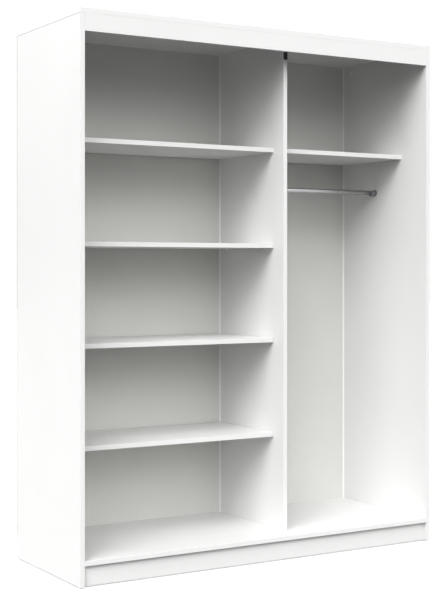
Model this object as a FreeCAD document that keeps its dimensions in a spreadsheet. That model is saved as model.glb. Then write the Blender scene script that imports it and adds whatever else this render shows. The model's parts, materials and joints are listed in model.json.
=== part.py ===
"""Open carcass of a two-bay sliding door wardrobe, built from 18 mm melamine board.

Millimetres.  X runs along the width, Y from front to rear, Z up.  The origin is on the
floor, under the middle of the wardrobe, and the front faces -Y.
"""
import FreeCAD, Part
import os

import Sketcher

doc = FreeCAD.newDocument("SlidingDoorWardrobe")

# ---------------------------------------------------------------------------
# Driving sizes
# ---------------------------------------------------------------------------
SIZES = (
    ("width", 1630, "overall, across the outer faces of the side panels"),
    ("height", 2100, "overall, floor to the upper face of the top panel"),
    ("depth", 590, "overall, front edges to the rear edge of the top panel"),
    ("board", 18, "thickness of every melamine board"),
    ("back_board", 3, "thickness of the hardboard backs"),
    ("left_bay", 927, "clear width of the shelf bay"),
    ("fascia_height", 65, "fascia below the top panel"),
    ("plinth_height", 79, "floor to the underside of the bottom panel"),
    ("plinth_setback", 15, "plinth front behind the side panels' front edges"),
    ("rear_plinth_setback", 30, "rear plinth in front of the panels' rear edges"),
    ("divider_gap", 4, "upper track to the divider's front edge"),
    ("shelf_setback", 166, "shelf fronts behind the side panels' front edges"),
    ("shelf_rear_gap", 6, "room between a shelf and the back board"),
    ("shelf_side_gap", 1, "room at each end of a loose shelf"),
    ("lowest_shelf", 391, "bottom panel to the upper face of the lowest shelf"),
    ("shelf_pitch", 385, "from one loose shelf to the next"),
    ("top_shelf", 1552, "bottom panel to the upper face of both top shelves"),
    ("seam_gap", 1, "gap between the two back boards"),
    ("bead_leg", 4, "leg of the corner beads"),
    ("fit", 0.2, "drilled diameter over the diameter of what goes in"),
    ("glide_height", 3, "floor glides under the panels"),
    ("glide_width", 16, "diameter of a glide"),
    ("glide_pin", 3, "diameter of a glide's nail"),
    ("glide_pin_length", 15, "length of a glide's nail"),
    ("glide_inset", 45, "glides from the front and rear edges of a panel"),
    ("rail_width", 20, "diameter of the hanging rail"),
    ("rail_wall", 1.2, "wall of the hanging rail tube"),
    ("rail_drop", 138, "underside of the top shelf to the middle of the rail"),
    ("rail_forward", 22, "rail in front of the middle of the top shelf"),
    ("rail_end_gap", 7, "room between each end of the rail and the board"),
    ("cup_length", 28, "how far a rail cup stands off its board"),
    ("cup_wall", 3.7, "wall of a rail cup"),
    ("cup_floor", 3, "floor of a rail cup"),
    ("cup_clearance", 0.3, "rail surface to cup all round"),
    ("cup_screw_spread", 6, "screws above and below the middle of a rail cup"),
    ("track_gap", 3, "fascia to the upper track"),
    ("track_depth", 68, "upper track, front to rear"),
    ("track_height", 38, "upper track, top to bottom"),
    ("track_wall", 2, "wall of the track extrusion"),
    ("track_lip", 7, "running lip inside each channel"),
    ("track_end_gap", 1, "room at each end of the track"),
    ("track_screw_inset", 60, "first and last track screws from the track's ends"),
    ("stop_length", 25, "door stop in an end of a channel"),
    ("stop_clearance", 0.5, "stop to the channel's walls"),
    ("buffer_thickness", 3, "black buffer on the divider's front edge"),
    ("buffer_height", 42, "black buffer, top to bottom"),
    ("buffer_drop", 16, "buffer below the lower edge of the fascia"),
    ("confirmat_width", 7, "diameter of a carcass screw's thread"),
    ("confirmat_head", 10, "diameter of a carcass screw's head"),
    ("confirmat_head_height", 4, "height of a carcass screw's head"),
    ("confirmat_length", 50, "length of a carcass screw"),
    ("confirmat_inset", 54, "carcass screws from the front and rear edges"),
    ("hex_width", 4, "hexagon socket in a carcass screw"),
    ("hex_depth", 3, "depth of the hexagon socket"),
    ("cap_width", 13, "cover cap on a carcass screw"),
    ("cap_height", 1, "how far a cover cap stands proud"),
    ("cam_width", 15, "diameter of a cam"),
    ("cam_past_bolt", 3.5, "how far a cam reaches past the middle of its bolt"),
    ("cam_reach", 34, "joint to the middle of a cam"),
    ("cam_slot", 8, "width of the slot that takes the bolt's head"),
    ("cam_recess", 4, "screwdriver recess in a cam"),
    ("cam_recess_depth", 3, "depth of the screwdriver recess"),
    ("cam_cover_width", 17, "cover over a cam"),
    ("cam_cover_height", 1, "how far a cam cover stands proud"),
    ("cam_cover_pin", 2.5, "length of a cam cover's pin"),
    ("bolt_thread", 5, "thread of a cam bolt"),
    ("bolt_thread_length", 11, "thread of a cam bolt in the board"),
    ("bolt_shank", 6, "shank of a cam bolt"),
    ("bolt_head", 7, "head of a cam bolt"),
    ("cam_front_inset", 125, "front cams from the side panels' front edges"),
    ("cam_rear_inset", 60, "rear cams from the panels' rear edges"),
    ("shelf_cam_inset", 50, "cams from the front and rear edges of a top shelf"),
    ("shelf_cam_offset", 32, "right shelf's cams nearer the middle than the left's"),
    ("fascia_cam_spread", 550, "outer fascia cams from the middle of the wardrobe"),
    ("dowel_width", 8, "diameter of a dowel"),
    ("dowel_length", 30, "length of a dowel"),
    ("dowel_in_face", 12, "dowel in the face of a board"),
    ("dowel_offset", 32, "dowels beside the cams"),
    ("dowel_relief", 0.5, "room at each end of a dowel"),
    ("support_pin", 5, "diameter of a shelf support's pin"),
    ("support_pin_length", 9, "length of a shelf support's pin"),
    ("support_reach", 9, "how far a shelf support stands off its board"),
    ("support_width", 14, "shelf support, front to rear"),
    ("support_height", 6, "height of a shelf support"),
    ("support_inset", 52, "shelf supports from the front and rear of a shelf"),
    ("nail_width", 1.6, "diameter of a back board nail"),
    ("nail_head", 4, "head of a back board nail"),
    ("nail_head_height", 0.8, "height of a nail's head"),
    ("nail_length", 22, "length of a back board nail"),
    ("nail_edge", 4.5, "nails beside the seam of the back boards"),
    ("nail_first", 40, "first and last nails from the ends of a back board"),
    ("block_size", 20, "edge of a corner block"),
    ("block_screw_offset", 5, "screws from the middle of a corner block"),
    ("block_end_inset", 150, "outer corner blocks from the side panels"),
    ("screw_width", 3.5, "diameter of a wood screw"),
    ("screw_head", 7, "head of a wood screw"),
    ("screw_head_height", 2.2, "height of a wood screw's head"),
    ("short_screw", 14, "wood screws in the track and the rail cups"),
    ("long_screw", 26, "wood screws in the corner blocks"),
)

sheet = doc.addObject("Spreadsheet::Sheet", "Sizes")
for row, (alias, amount, meaning) in enumerate(SIZES, start=1):
    sheet.set(f"A{row}", alias)
    sheet.set(f"B{row}", str(amount))
    sheet.setAlias(f"B{row}", alias)
    sheet.set(f"C{row}", meaning)
doc.recompute()

# How many of each repeated thing there are
LOOSE_SHELVES = ("lower", "middle", "upper")
NAILS_IN_A_COLUMN = 9
TRACK_SCREWS = 7

# Planes of the carcass, as expressions on the sheet
LEFT = "(-Sizes.width / 2)"
RIGHT = "(Sizes.width / 2)"
INNER_LEFT = "(-Sizes.width / 2 + Sizes.board)"
INNER_RIGHT = "(Sizes.width / 2 - Sizes.board)"
DIVIDER_LEFT = "(-Sizes.width / 2 + Sizes.board + Sizes.left_bay)"
DIVIDER_RIGHT = "(-Sizes.width / 2 + 2 * Sizes.board + Sizes.left_bay)"
DIVIDER_MIDDLE = "(-Sizes.width / 2 + 1.5 * Sizes.board + Sizes.left_bay)"
FRONT = "(-Sizes.depth / 2)"
REAR = "(Sizes.depth / 2)"
PANEL_REAR = "(Sizes.depth / 2 - Sizes.back_board)"
TRACK_FRONT = "(-Sizes.depth / 2 + Sizes.board + Sizes.track_gap)"
DIVIDER_FRONT = f"({TRACK_FRONT} + Sizes.track_depth + Sizes.divider_gap)"
SHELF_FRONT = "(-Sizes.depth / 2 + Sizes.shelf_setback)"
SHELF_REAR = f"({PANEL_REAR} - Sizes.shelf_rear_gap)"
FLOOR_TOP = "(Sizes.plinth_height + Sizes.board)"
CEILING = "(Sizes.height - Sizes.board)"
FASCIA_BOTTOM = f"({CEILING} - Sizes.fascia_height)"
FASCIA_INSIDE = "(-Sizes.depth / 2 + Sizes.board)"
TOP_SHELF_TOP = f"({FLOOR_TOP} + Sizes.top_shelf)"
TOP_SHELF_BOTTOM = f"({FLOOR_TOP} + Sizes.top_shelf - Sizes.board)"
BOTTOM_MIDDLE = "(Sizes.plinth_height + Sizes.board / 2)"
PLINTH_FRONT = "(-Sizes.depth / 2 + Sizes.plinth_setback)"
PLINTH_INSIDE = "(-Sizes.depth / 2 + Sizes.plinth_setback + Sizes.board)"
REAR_PLINTH_BACK = f"({PANEL_REAR} - Sizes.rear_plinth_setback)"
REAR_PLINTH_INSIDE = f"({PANEL_REAR} - Sizes.rear_plinth_setback - Sizes.board)"
PLINTH_MIDDLE = "((Sizes.plinth_height + Sizes.glide_height) / 2)"
CAM_DEPTH = "(Sizes.board / 2 + Sizes.cam_past_bolt)"
RAIL_Y = f"(({SHELF_FRONT} + {SHELF_REAR}) / 2 - Sizes.rail_forward)"
RAIL_Z = f"({TOP_SHELF_BOTTOM} - Sizes.rail_drop)"
TRACK_BOTTOM = f"({CEILING} - Sizes.track_height)"

AXES = {
    "+x": FreeCAD.Vector(1, 0, 0),
    "-x": FreeCAD.Vector(-1, 0, 0),
    "+y": FreeCAD.Vector(0, 1, 0),
    "-y": FreeCAD.Vector(0, -1, 0),
    "+z": FreeCAD.Vector(0, 0, 1),
    "-z": FreeCAD.Vector(0, 0, -1),
}
OPPOSITE = {"+x": "-x", "-x": "+x", "+y": "-y", "-y": "+y", "+z": "-z", "-z": "+z"}


# ---------------------------------------------------------------------------
# Helpers
# ---------------------------------------------------------------------------
def value(expression):
    """The number that an expression on the sheet gives."""
    return float(sheet.evalExpression(str(expression)))


def turned_to(axis):
    """The rotation that turns +Z to an axis."""
    return FreeCAD.Rotation(AXES["+z"], AXES[axis])


def moved(axis, spot, distance):
    """A spot moved along an axis, both as expressions."""
    step = AXES[axis]
    signs = (step.x, step.y, step.z)
    return tuple(
        f"({place} + ({distance}) * {sign:.0f})" if sign else place
        for place, sign in zip(spot, signs)
    )


def bind_place(thing, spot):
    """Ties the placement of an object to three expressions."""
    for name, place in zip("xyz", spot):
        thing.setExpression(f"Placement.Base.{name}", place)


def block(name, x, y, z):
    """A box between a low and a high expression on each axis."""
    box = doc.addObject("Part::Box", name)
    for size, (low, high) in zip(("Length", "Width", "Height"), (x, y, z)):
        box.setExpression(size, f"({high}) - ({low})")
    bind_place(box, (x[0], y[0], z[0]))
    return box


def bore(axis, spot, diameter, length):
    """A round cutting tool that starts at a spot and runs along an axis."""
    tool = doc.addObject("Part::Cylinder", "Bore")
    tool.Placement = FreeCAD.Placement(FreeCAD.Vector(), turned_to(axis))
    tool.setExpression("Radius", f"({diameter}) / 2")
    tool.setExpression("Height", str(length))
    bind_place(tool, spot)
    return tool


def cut(name, base, tools):
    """The base with every tool cut away from it."""
    result = doc.addObject("Part::Cut", name)
    result.Base = base
    if len(tools) == 1:
        result.Tool = tools[0]
    else:
        result.Tool = doc.addObject("Part::MultiFuse", name + "_tools")
        result.Tool.Shapes = tools
    return result


def origin_plane(body, role):
    """One of a body's own origin planes."""
    return next(plane for plane in body.Origin.OriginFeatures if plane.Role == role)


def new_sketch(body, role, name):
    """An empty sketch on one of a body's origin planes."""
    sketch = body.newObject("Sketcher::SketchObject", name)
    sketch.AttachmentSupport = [(origin_plane(body, role), "")]
    sketch.MapMode = "FlatFace"
    return sketch


def dimension(sketch, kind, geometry, point, expression):
    """Ties one point of a sketch to the sketch's origin by an expression."""
    constraint = Sketcher.Constraint(kind, -1, 1, geometry, point, value(expression))
    index = sketch.addConstraint(constraint)
    sketch.setExpression(f"Constraints[{index}]", expression)


def draw_outline(sketch, corners):
    """A closed outline of straight lines through corners given as expressions."""
    spots = [FreeCAD.Vector(value(across), value(up), 0) for across, up in corners]
    first = sketch.GeometryCount
    count = len(spots)
    for index in range(count):
        line = Part.LineSegment(spots[index], spots[(index + 1) % count])
        sketch.addGeometry(line, False)
    for index, (across, up) in enumerate(corners):
        line = first + index
        following = first + (index + 1) % count
        sketch.addConstraint(Sketcher.Constraint("Coincident", line, 2, following, 1))
        dimension(sketch, "DistanceX", line, 1, across)
        dimension(sketch, "DistanceY", line, 1, up)


def draw_circle(sketch, diameter):
    """A circle about the sketch's origin."""
    circle = Part.Circle(FreeCAD.Vector(), AXES["+z"], value(diameter) / 2)
    geometry = sketch.addGeometry(circle, False)
    sketch.addConstraint(Sketcher.Constraint("Coincident", geometry, 3, -1, 1))
    constraint = Sketcher.Constraint("Diameter", geometry, value(diameter))
    index = sketch.addConstraint(constraint)
    sketch.setExpression(f"Constraints[{index}]", diameter)


def turned_part(name, corners):
    """A body turned about Z; its corners are pairs of radius and height."""
    body = doc.addObject("PartDesign::Body", name)
    sketch = new_sketch(body, "XZ_Plane", name + "_profile")
    draw_outline(sketch, corners)
    turning = body.newObject("PartDesign::Revolution", name + "_turning")
    turning.Profile = sketch
    turning.ReferenceAxis = (sketch, ["V_Axis"])
    turning.Angle = 360
    return body


def extruded_part(name, role, draw, length):
    """A body padded to a length from a sketch that draw() fills."""
    body = doc.addObject("PartDesign::Body", name)
    sketch = new_sketch(body, role, name + "_profile")
    draw(sketch)
    pad = body.newObject("PartDesign::Pad", name + "_pad")
    pad.Profile = sketch
    pad.setExpression("Length", length)
    return body


def placed(axis, spot, toward=None):
    """A placement whose Z runs along an axis and, if given, whose X runs toward another."""
    if toward is None:
        rotation = turned_to(axis)
    else:
        rotation = FreeCAD.Rotation(AXES[toward], FreeCAD.Vector(), AXES[axis], "ZXY")
    return FreeCAD.Placement(FreeCAD.Vector(*(value(place) for place in spot)), rotation)


parts = {}


def keep(name, thing):
    """Takes an object of the document as a sub-part with its own label."""
    thing.Label = name
    parts[name] = thing


def keep_group(name, master, placements):
    """Takes copies of one master as a sub-part of separate solids."""
    doc.recompute()
    copies = []
    for placement in placements:
        solid = master.Shape.copy()
        solid.Placement = placement.multiply(master.Shape.Placement)
        copies.append(solid)
    group = doc.addObject("Part::Feature", name)
    group.Shape = Part.makeCompound(copies)
    keep(name, group)


# ---------------------------------------------------------------------------
# Boards, before drilling
# ---------------------------------------------------------------------------
def shelf_heights():
    """Underside and upper face of each loose shelf."""
    heights = {}
    for index, name in enumerate(LOOSE_SHELVES):
        top = f"({FLOOR_TOP} + Sizes.lowest_shelf + {index} * Sizes.shelf_pitch)"
        heights[name] = (f"({top} - Sizes.board)", top)
    return heights


SHELF_HEIGHTS = shelf_heights()
CROSSPIECES = {
    "plinth_crosspiece_left": f"({INNER_LEFT} + Sizes.left_bay / 2)",
    "plinth_crosspiece_divider": DIVIDER_MIDDLE,
}
BETWEEN_SIDES = (INNER_LEFT, INNER_RIGHT)
INSIDE_HEIGHT = (FLOOR_TOP, CEILING)
SIDE_HEIGHT = ("Sizes.glide_height", CEILING)
PLINTH_SPAN = ("Sizes.glide_height", "Sizes.plinth_height")
SHELF_DEPTH = (SHELF_FRONT, SHELF_REAR)
TOP_SHELF = (TOP_SHELF_BOTTOM, TOP_SHELF_TOP)
SEAM_LEFT = f"({DIVIDER_MIDDLE} - Sizes.seam_gap / 2)"
SEAM_RIGHT = f"({DIVIDER_MIDDLE} + Sizes.seam_gap / 2)"

blanks = {
    "side_panel_left": ((LEFT, INNER_LEFT), (FRONT, PANEL_REAR), SIDE_HEIGHT),
    "side_panel_right": ((INNER_RIGHT, RIGHT), (FRONT, PANEL_REAR), SIDE_HEIGHT),
    "top_panel": ((LEFT, RIGHT), (FRONT, REAR), (CEILING, "Sizes.height")),
    "bottom_panel": (BETWEEN_SIDES, (FRONT, REAR), ("Sizes.plinth_height", FLOOR_TOP)),
    "divider_panel": ((DIVIDER_LEFT, DIVIDER_RIGHT), (DIVIDER_FRONT, PANEL_REAR), INSIDE_HEIGHT),
    "fascia_panel": (BETWEEN_SIDES, (FRONT, FASCIA_INSIDE), (FASCIA_BOTTOM, CEILING)),
    "plinth_front": (BETWEEN_SIDES, (PLINTH_FRONT, PLINTH_INSIDE), PLINTH_SPAN),
    "plinth_rear": (BETWEEN_SIDES, (REAR_PLINTH_INSIDE, REAR_PLINTH_BACK), PLINTH_SPAN),
    "shelf_left_top": ((INNER_LEFT, DIVIDER_LEFT), SHELF_DEPTH, TOP_SHELF),
    "shelf_right_top": ((DIVIDER_RIGHT, INNER_RIGHT), SHELF_DEPTH, TOP_SHELF),
    "back_board_left": ((LEFT, SEAM_LEFT), (PANEL_REAR, REAR), INSIDE_HEIGHT),
    "back_board_right": ((SEAM_RIGHT, RIGHT), (PANEL_REAR, REAR), INSIDE_HEIGHT),
}
for name, middle in CROSSPIECES.items():
    sides = (f"{middle} - Sizes.board / 2", f"{middle} + Sizes.board / 2")
    blanks[name] = (sides, (PLINTH_INSIDE, REAR_PLINTH_INSIDE), PLINTH_SPAN)

tools = {name: [] for name in blanks}


def drill(boards, *bores):
    """Notes bores for every board that they pass through."""
    for name in boards:
        tools[name].extend(bores)


def clear(diameter):
    """The drilled diameter for something of a given diameter."""
    return f"({diameter} + Sizes.fit)"


# ---------------------------------------------------------------------------
# Carcass screws through the side panels into the bottom panel
# ---------------------------------------------------------------------------
def carcass_screws():
    screw = turned_part("confirmat_master", (
        ("0", "Sizes.hex_depth"),
        ("Sizes.hex_width / 2", "Sizes.hex_depth"),
        ("Sizes.hex_width / 2", "0"),
        ("Sizes.confirmat_head / 2", "0"),
        ("Sizes.confirmat_head / 2", "Sizes.confirmat_head_height"),
        ("Sizes.confirmat_width / 2", "Sizes.confirmat_head_height"),
        ("Sizes.confirmat_width / 2", "Sizes.confirmat_length - Sizes.confirmat_width / 2"),
        ("0", "Sizes.confirmat_length"),
    ))
    cap = turned_part("cap_master", (
        ("0", "-Sizes.cap_height"),
        ("Sizes.cap_width / 2 - Sizes.cap_height / 2", "-Sizes.cap_height"),
        ("Sizes.cap_width / 2", "0"),
        ("(Sizes.hex_width - Sizes.fit) / 2", "0"),
        ("(Sizes.hex_width - Sizes.fit) / 2", "Sizes.hex_depth - Sizes.fit"),
        ("0", "Sizes.hex_depth - Sizes.fit"),
    ))
    places = []
    for side, face, axis in (("side_panel_left", LEFT, "+x"), ("side_panel_right", RIGHT, "-x")):
        for y in (f"({FRONT} + Sizes.confirmat_inset)", f"({PANEL_REAR} - Sizes.confirmat_inset)"):
            spot = (face, y, BOTTOM_MIDDLE)
            length = "Sizes.confirmat_length + Sizes.dowel_relief"
            drill(
                (side, "bottom_panel"),
                bore(axis, spot, clear("Sizes.confirmat_width"), length),
                bore(axis, spot, clear("Sizes.confirmat_head"), "Sizes.confirmat_head_height"),
            )
            places.append(placed(axis, spot))
    keep_group("confirmat_screws", screw, places)
    keep_group("screw_caps", cap, places)


# ---------------------------------------------------------------------------
# Cams with their bolts, and dowels
# ---------------------------------------------------------------------------
def cam_master():
    disc = doc.addObject("Part::Cylinder", "CamDisc")
    disc.setExpression("Radius", "Sizes.cam_width / 2")
    disc.setExpression("Height", CAM_DEPTH)
    half_slot = "Sizes.cam_slot / 2"
    slot = block(
        "CamSlot",
        (f"-({half_slot})", "Sizes.cam_width"),
        (f"-({half_slot})", half_slot),
        (f"Sizes.board / 2 - {half_slot}", "Sizes.board"),
    )
    recess = bore("+z", ("0", "0", "0"), "Sizes.cam_recess", "Sizes.cam_recess_depth")
    return cut("cam_master", disc, [slot, recess])


def bolt_master():
    """A cam bolt: Z runs into the board that it is screwed into."""
    neck = "-(Sizes.cam_reach - Sizes.bolt_head / 2)"
    end = "-(Sizes.cam_reach + Sizes.bolt_head / 2 - Sizes.fit)"
    return turned_part("bolt_master", (
        ("0", "Sizes.bolt_thread_length"),
        ("Sizes.bolt_thread / 2", "Sizes.bolt_thread_length - Sizes.bolt_thread / 4"),
        ("Sizes.bolt_thread / 2", "0"),
        ("Sizes.bolt_shank / 2", "0"),
        ("Sizes.bolt_shank / 2", neck),
        ("Sizes.bolt_head / 2", neck),
        ("Sizes.bolt_head / 2", end),
        ("0", end),
    ))


def cover_master():
    """The white cover over a cam, with a pin in the cam's recess."""
    return turned_part("cover_master", (
        ("0", "-Sizes.cam_cover_height"),
        ("Sizes.cam_cover_width / 2 - Sizes.cam_cover_height / 2", "-Sizes.cam_cover_height"),
        ("Sizes.cam_cover_width / 2", "0"),
        ("(Sizes.cam_recess - Sizes.fit) / 2", "0"),
        ("(Sizes.cam_recess - Sizes.fit) / 2", "Sizes.cam_cover_pin"),
        ("0", "Sizes.cam_cover_pin"),
    ))


def cam_joints():
    """Each joint: the cam's board and face, the board that takes the bolt, and the bolt's axis."""
    joints = []
    cam_rows = (
        f"({FRONT} + Sizes.cam_front_inset)",
        f"({PANEL_REAR} - Sizes.cam_rear_inset)",
    )
    # Side panels and divider up into the top panel
    uprights = (
        ("side_panel_left", INNER_LEFT, "-x", f"({LEFT} + Sizes.board / 2)"),
        ("side_panel_right", INNER_RIGHT, "+x", f"({RIGHT} - Sizes.board / 2)"),
        ("divider_panel", DIVIDER_RIGHT, "-x", DIVIDER_MIDDLE),
    )
    for name, face, inward, middle in uprights:
        for y in cam_rows:
            joints.append((name, face, inward, "top_panel", "+z", (middle, y, CEILING)))
    # Divider down into the bottom panel
    for y in cam_rows:
        spot = (DIVIDER_MIDDLE, y, FLOOR_TOP)
        joints.append(("divider_panel", DIVIDER_RIGHT, "-x", "bottom_panel", "-z", spot))
    # Fascia up into the top panel
    fascia_middle = f"({FRONT} + Sizes.board / 2)"
    for x in ("-Sizes.fascia_cam_spread", "0", "Sizes.fascia_cam_spread"):
        spot = (x, fascia_middle, CEILING)
        joints.append(("fascia_panel", FASCIA_INSIDE, "-y", "top_panel", "+z", spot))
    # Top shelves into the side panels and the divider
    shelf_middle = f"({TOP_SHELF_BOTTOM} + Sizes.board / 2)"
    left_ends = (("side_panel_left", INNER_LEFT, "-x"), ("divider_panel", DIVIDER_LEFT, "+x"))
    right_ends = (("divider_panel", DIVIDER_RIGHT, "-x"), ("side_panel_right", INNER_RIGHT, "+x"))
    shelves = (
        ("shelf_left_top", left_ends, "Sizes.shelf_cam_inset"),
        ("shelf_right_top", right_ends, "Sizes.shelf_cam_inset + Sizes.shelf_cam_offset"),
    )
    for name, ends, inset in shelves:
        for board, x, axis in ends:
            for y in (f"({SHELF_FRONT} + {inset})", f"({SHELF_REAR} - ({inset}))"):
                joints.append((name, TOP_SHELF_BOTTOM, "+z", board, axis, (x, y, shelf_middle)))
    return joints


def cams():
    cam_places = []
    bolt_places = []
    for cam_board, face, inward, bolt_board, axis, spot in cam_joints():
        back = OPPOSITE[axis]
        middle = moved(back, spot, "Sizes.cam_reach")
        across = "xyz".index(inward[1])
        centre = tuple(face if index == across else place for index, place in enumerate(middle))
        drill(
            (cam_board,),
            bore(inward, centre, clear("Sizes.cam_width"), f"{CAM_DEPTH} + Sizes.fit"),
            bore(back, spot, "Sizes.cam_slot", "Sizes.cam_reach"),
        )
        drill(
            (bolt_board,),
            bore(axis, spot, clear("Sizes.bolt_thread"), "Sizes.bolt_thread_length + Sizes.fit"),
        )
        cam_places.append(placed(inward, centre, toward=axis))
        bolt_places.append(placed(axis, spot))
    keep_group("cams", cam_master(), cam_places)
    keep_group("cam_bolts", bolt_master(), bolt_places)
    keep_group("cam_covers", cover_master(), cam_places)


def dowel_joints():
    """Each dowel: the board drilled in its edge, the one drilled in its face, axis and spot."""
    joints = []
    rows = (
        f"({FRONT} + Sizes.cam_front_inset + Sizes.dowel_offset)",
        f"({PANEL_REAR} - Sizes.cam_rear_inset - Sizes.dowel_offset)",
    )
    uprights = (
        ("side_panel_left", f"({LEFT} + Sizes.board / 2)"),
        ("side_panel_right", f"({RIGHT} - Sizes.board / 2)"),
        ("divider_panel", DIVIDER_MIDDLE),
    )
    for y in rows:
        for name, x in uprights:
            joints.append((name, "top_panel", "+z", (x, y, CEILING)))
        joints.append(("divider_panel", "bottom_panel", "-z", (DIVIDER_MIDDLE, y, FLOOR_TOP)))
    ends = (("side_panel_left", INNER_LEFT, "-x"), ("side_panel_right", INNER_RIGHT, "+x"))
    fascia_spot = (f"({FRONT} + Sizes.board / 2)", f"(({FASCIA_BOTTOM} + {CEILING}) / 2)")
    front_spot = (f"({PLINTH_FRONT} + Sizes.board / 2)", PLINTH_MIDDLE)
    rear_spot = (f"({REAR_PLINTH_INSIDE} + Sizes.board / 2)", PLINTH_MIDDLE)
    for side, x, axis in ends:
        joints.append(("fascia_panel", side, axis, (x, *fascia_spot)))
        joints.append(("plinth_front", side, axis, (x, *front_spot)))
        joints.append(("plinth_rear", side, axis, (x, *rear_spot)))
    for name, x in CROSSPIECES.items():
        joints.append((name, "plinth_front", "-y", (x, PLINTH_INSIDE, PLINTH_MIDDLE)))
        joints.append((name, "plinth_rear", "+y", (x, REAR_PLINTH_INSIDE, PLINTH_MIDDLE)))
    return joints


def dowels():
    radius = "Sizes.dowel_width / 2"
    tip = "Sizes.dowel_width / 8"
    dowel = turned_part("dowel_master", (
        ("0", "0"),
        (f"{radius} - {tip}", "0"),
        (radius, tip),
        (radius, f"Sizes.dowel_length - {tip}"),
        (f"{radius} - {tip}", "Sizes.dowel_length"),
        ("0", "Sizes.dowel_length"),
    ))
    places = []
    for edge_board, face_board, axis, spot in dowel_joints():
        start = moved(axis, spot, "Sizes.dowel_in_face")
        drilled = moved(axis, start, "Sizes.dowel_relief")
        hole = bore(
            OPPOSITE[axis],
            drilled,
            clear("Sizes.dowel_width"),
            "Sizes.dowel_length + 2 * Sizes.dowel_relief",
        )
        drill((edge_board, face_board), hole)
        places.append(placed(OPPOSITE[axis], start))
    keep_group("wood_dowels", dowel, places)


# ---------------------------------------------------------------------------
# Loose shelves and their supports
# ---------------------------------------------------------------------------
def loose_shelves():
    """Three shelves that lie on their supports, and the supports."""
    pin = doc.addObject("Part::Cylinder", "SupportPin")
    pin.setExpression("Radius", "Sizes.support_pin / 2")
    pin.setExpression("Height", "Sizes.support_pin_length + Sizes.support_reach / 2")
    pin.setExpression("Placement.Base.z", "-Sizes.support_reach / 2")
    pad = block(
        "SupportPad",
        ("-Sizes.support_height / 2", "Sizes.support_height / 2"),
        ("-Sizes.support_width / 2", "Sizes.support_width / 2"),
        ("-Sizes.support_reach", "0"),
    )
    support = doc.addObject("Part::Fuse", "support_master")
    support.Base = pin
    support.Tool = pad

    shelf_ends = (f"{INNER_LEFT} + Sizes.shelf_side_gap", f"{DIVIDER_LEFT} - Sizes.shelf_side_gap")
    rows = (f"({SHELF_FRONT} + Sizes.support_inset)", f"({SHELF_REAR} - Sizes.support_inset)")
    walls = (("side_panel_left", INNER_LEFT, "-x"), ("divider_panel", DIVIDER_LEFT, "+x"))
    depth = "Sizes.support_pin_length + Sizes.fit"
    places = []
    for name, (low, high) in SHELF_HEIGHTS.items():
        keep(f"shelf_left_{name}", block("Shelf", shelf_ends, SHELF_DEPTH, (low, high)))
        z = f"({low} - Sizes.support_height / 2)"
        for side, x, axis in walls:
            for y in rows:
                spot = (x, y, z)
                drill((side,), bore(axis, spot, clear("Sizes.support_pin"), depth))
                places.append(placed(axis, spot, toward="+z"))
    keep_group("shelf_supports", support, places)


# ---------------------------------------------------------------------------
# Wood screws
# ---------------------------------------------------------------------------
def wood_screw(name, length):
    """A round-headed screw: the origin is under its head, the thread runs along Z."""
    return turned_part(name, (
        ("0", "-Sizes.screw_head_height"),
        ("Sizes.screw_head / 3", "-Sizes.screw_head_height"),
        ("Sizes.screw_head / 2", "-Sizes.screw_head_height / 3"),
        ("Sizes.screw_head / 2", "0"),
        ("Sizes.screw_width / 2", "0"),
        ("Sizes.screw_width / 2", f"{length} - Sizes.screw_width"),
        ("0", length),
    ))


# ---------------------------------------------------------------------------
# Hanging rail and its cups
# ---------------------------------------------------------------------------
def hanging_rail():
    def tube(sketch):
        draw_circle(sketch, "Sizes.rail_width")
        draw_circle(sketch, "Sizes.rail_width - 2 * Sizes.rail_wall")

    start = f"({DIVIDER_RIGHT} + Sizes.rail_end_gap)"
    end = f"({INNER_RIGHT} - Sizes.rail_end_gap)"
    rail = extruded_part("hanging_rail", "YZ_Plane", tube, f"{end} - {start}")
    bind_place(rail, (start, RAIL_Y, RAIL_Z))
    keep("hanging_rail", rail)


def rail_cup(name, board, x, axis):
    """A cup that is open at the top and screwed to a board; the axis runs into the board."""
    outward = OPPOSITE[axis]
    spot = (x, RAIL_Y, RAIL_Z)
    seat = "(Sizes.rail_width + 2 * Sizes.cup_clearance)"
    body = bore(outward, spot, f"{seat} + 2 * Sizes.cup_wall", "Sizes.cup_length")
    inside = moved(outward, spot, "Sizes.cup_floor")
    hollow = bore(outward, inside, seat, "Sizes.cup_length")
    beyond = moved(outward, spot, "Sizes.cup_length + Sizes.cup_floor")
    ends = sorted((inside[0], beyond[0]), key=value)
    mouth = block(
        "CupMouth",
        ends,
        (f"{RAIL_Y} - {seat} / 2", f"{RAIL_Y} + {seat} / 2"),
        (RAIL_Z, f"{RAIL_Z} + Sizes.rail_width"),
    )
    cutters = [hollow, mouth]
    places = []
    for sign in ("+", "-"):
        screw_spot = (x, RAIL_Y, f"({RAIL_Z} {sign} Sizes.cup_screw_spread)")
        head = moved(outward, screw_spot, "Sizes.cup_floor")
        cutters.append(bore(axis, head, clear("Sizes.screw_width"), "Sizes.cup_floor"))
        depth = "Sizes.short_screw - Sizes.cup_floor + Sizes.fit"
        drill((board,), bore(axis, screw_spot, clear("Sizes.screw_width"), depth))
        places.append(placed(axis, head))
    keep(name, cut(name, body, cutters))
    return places


def rail_hardware():
    hanging_rail()
    places = rail_cup("rail_cup_left", "divider_panel", DIVIDER_RIGHT, "-x")
    places += rail_cup("rail_cup_right", "side_panel_right", INNER_RIGHT, "+x")
    keep_group("rail_cup_screws", wood_screw("cup_screw_master", "Sizes.short_screw"), places)


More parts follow.
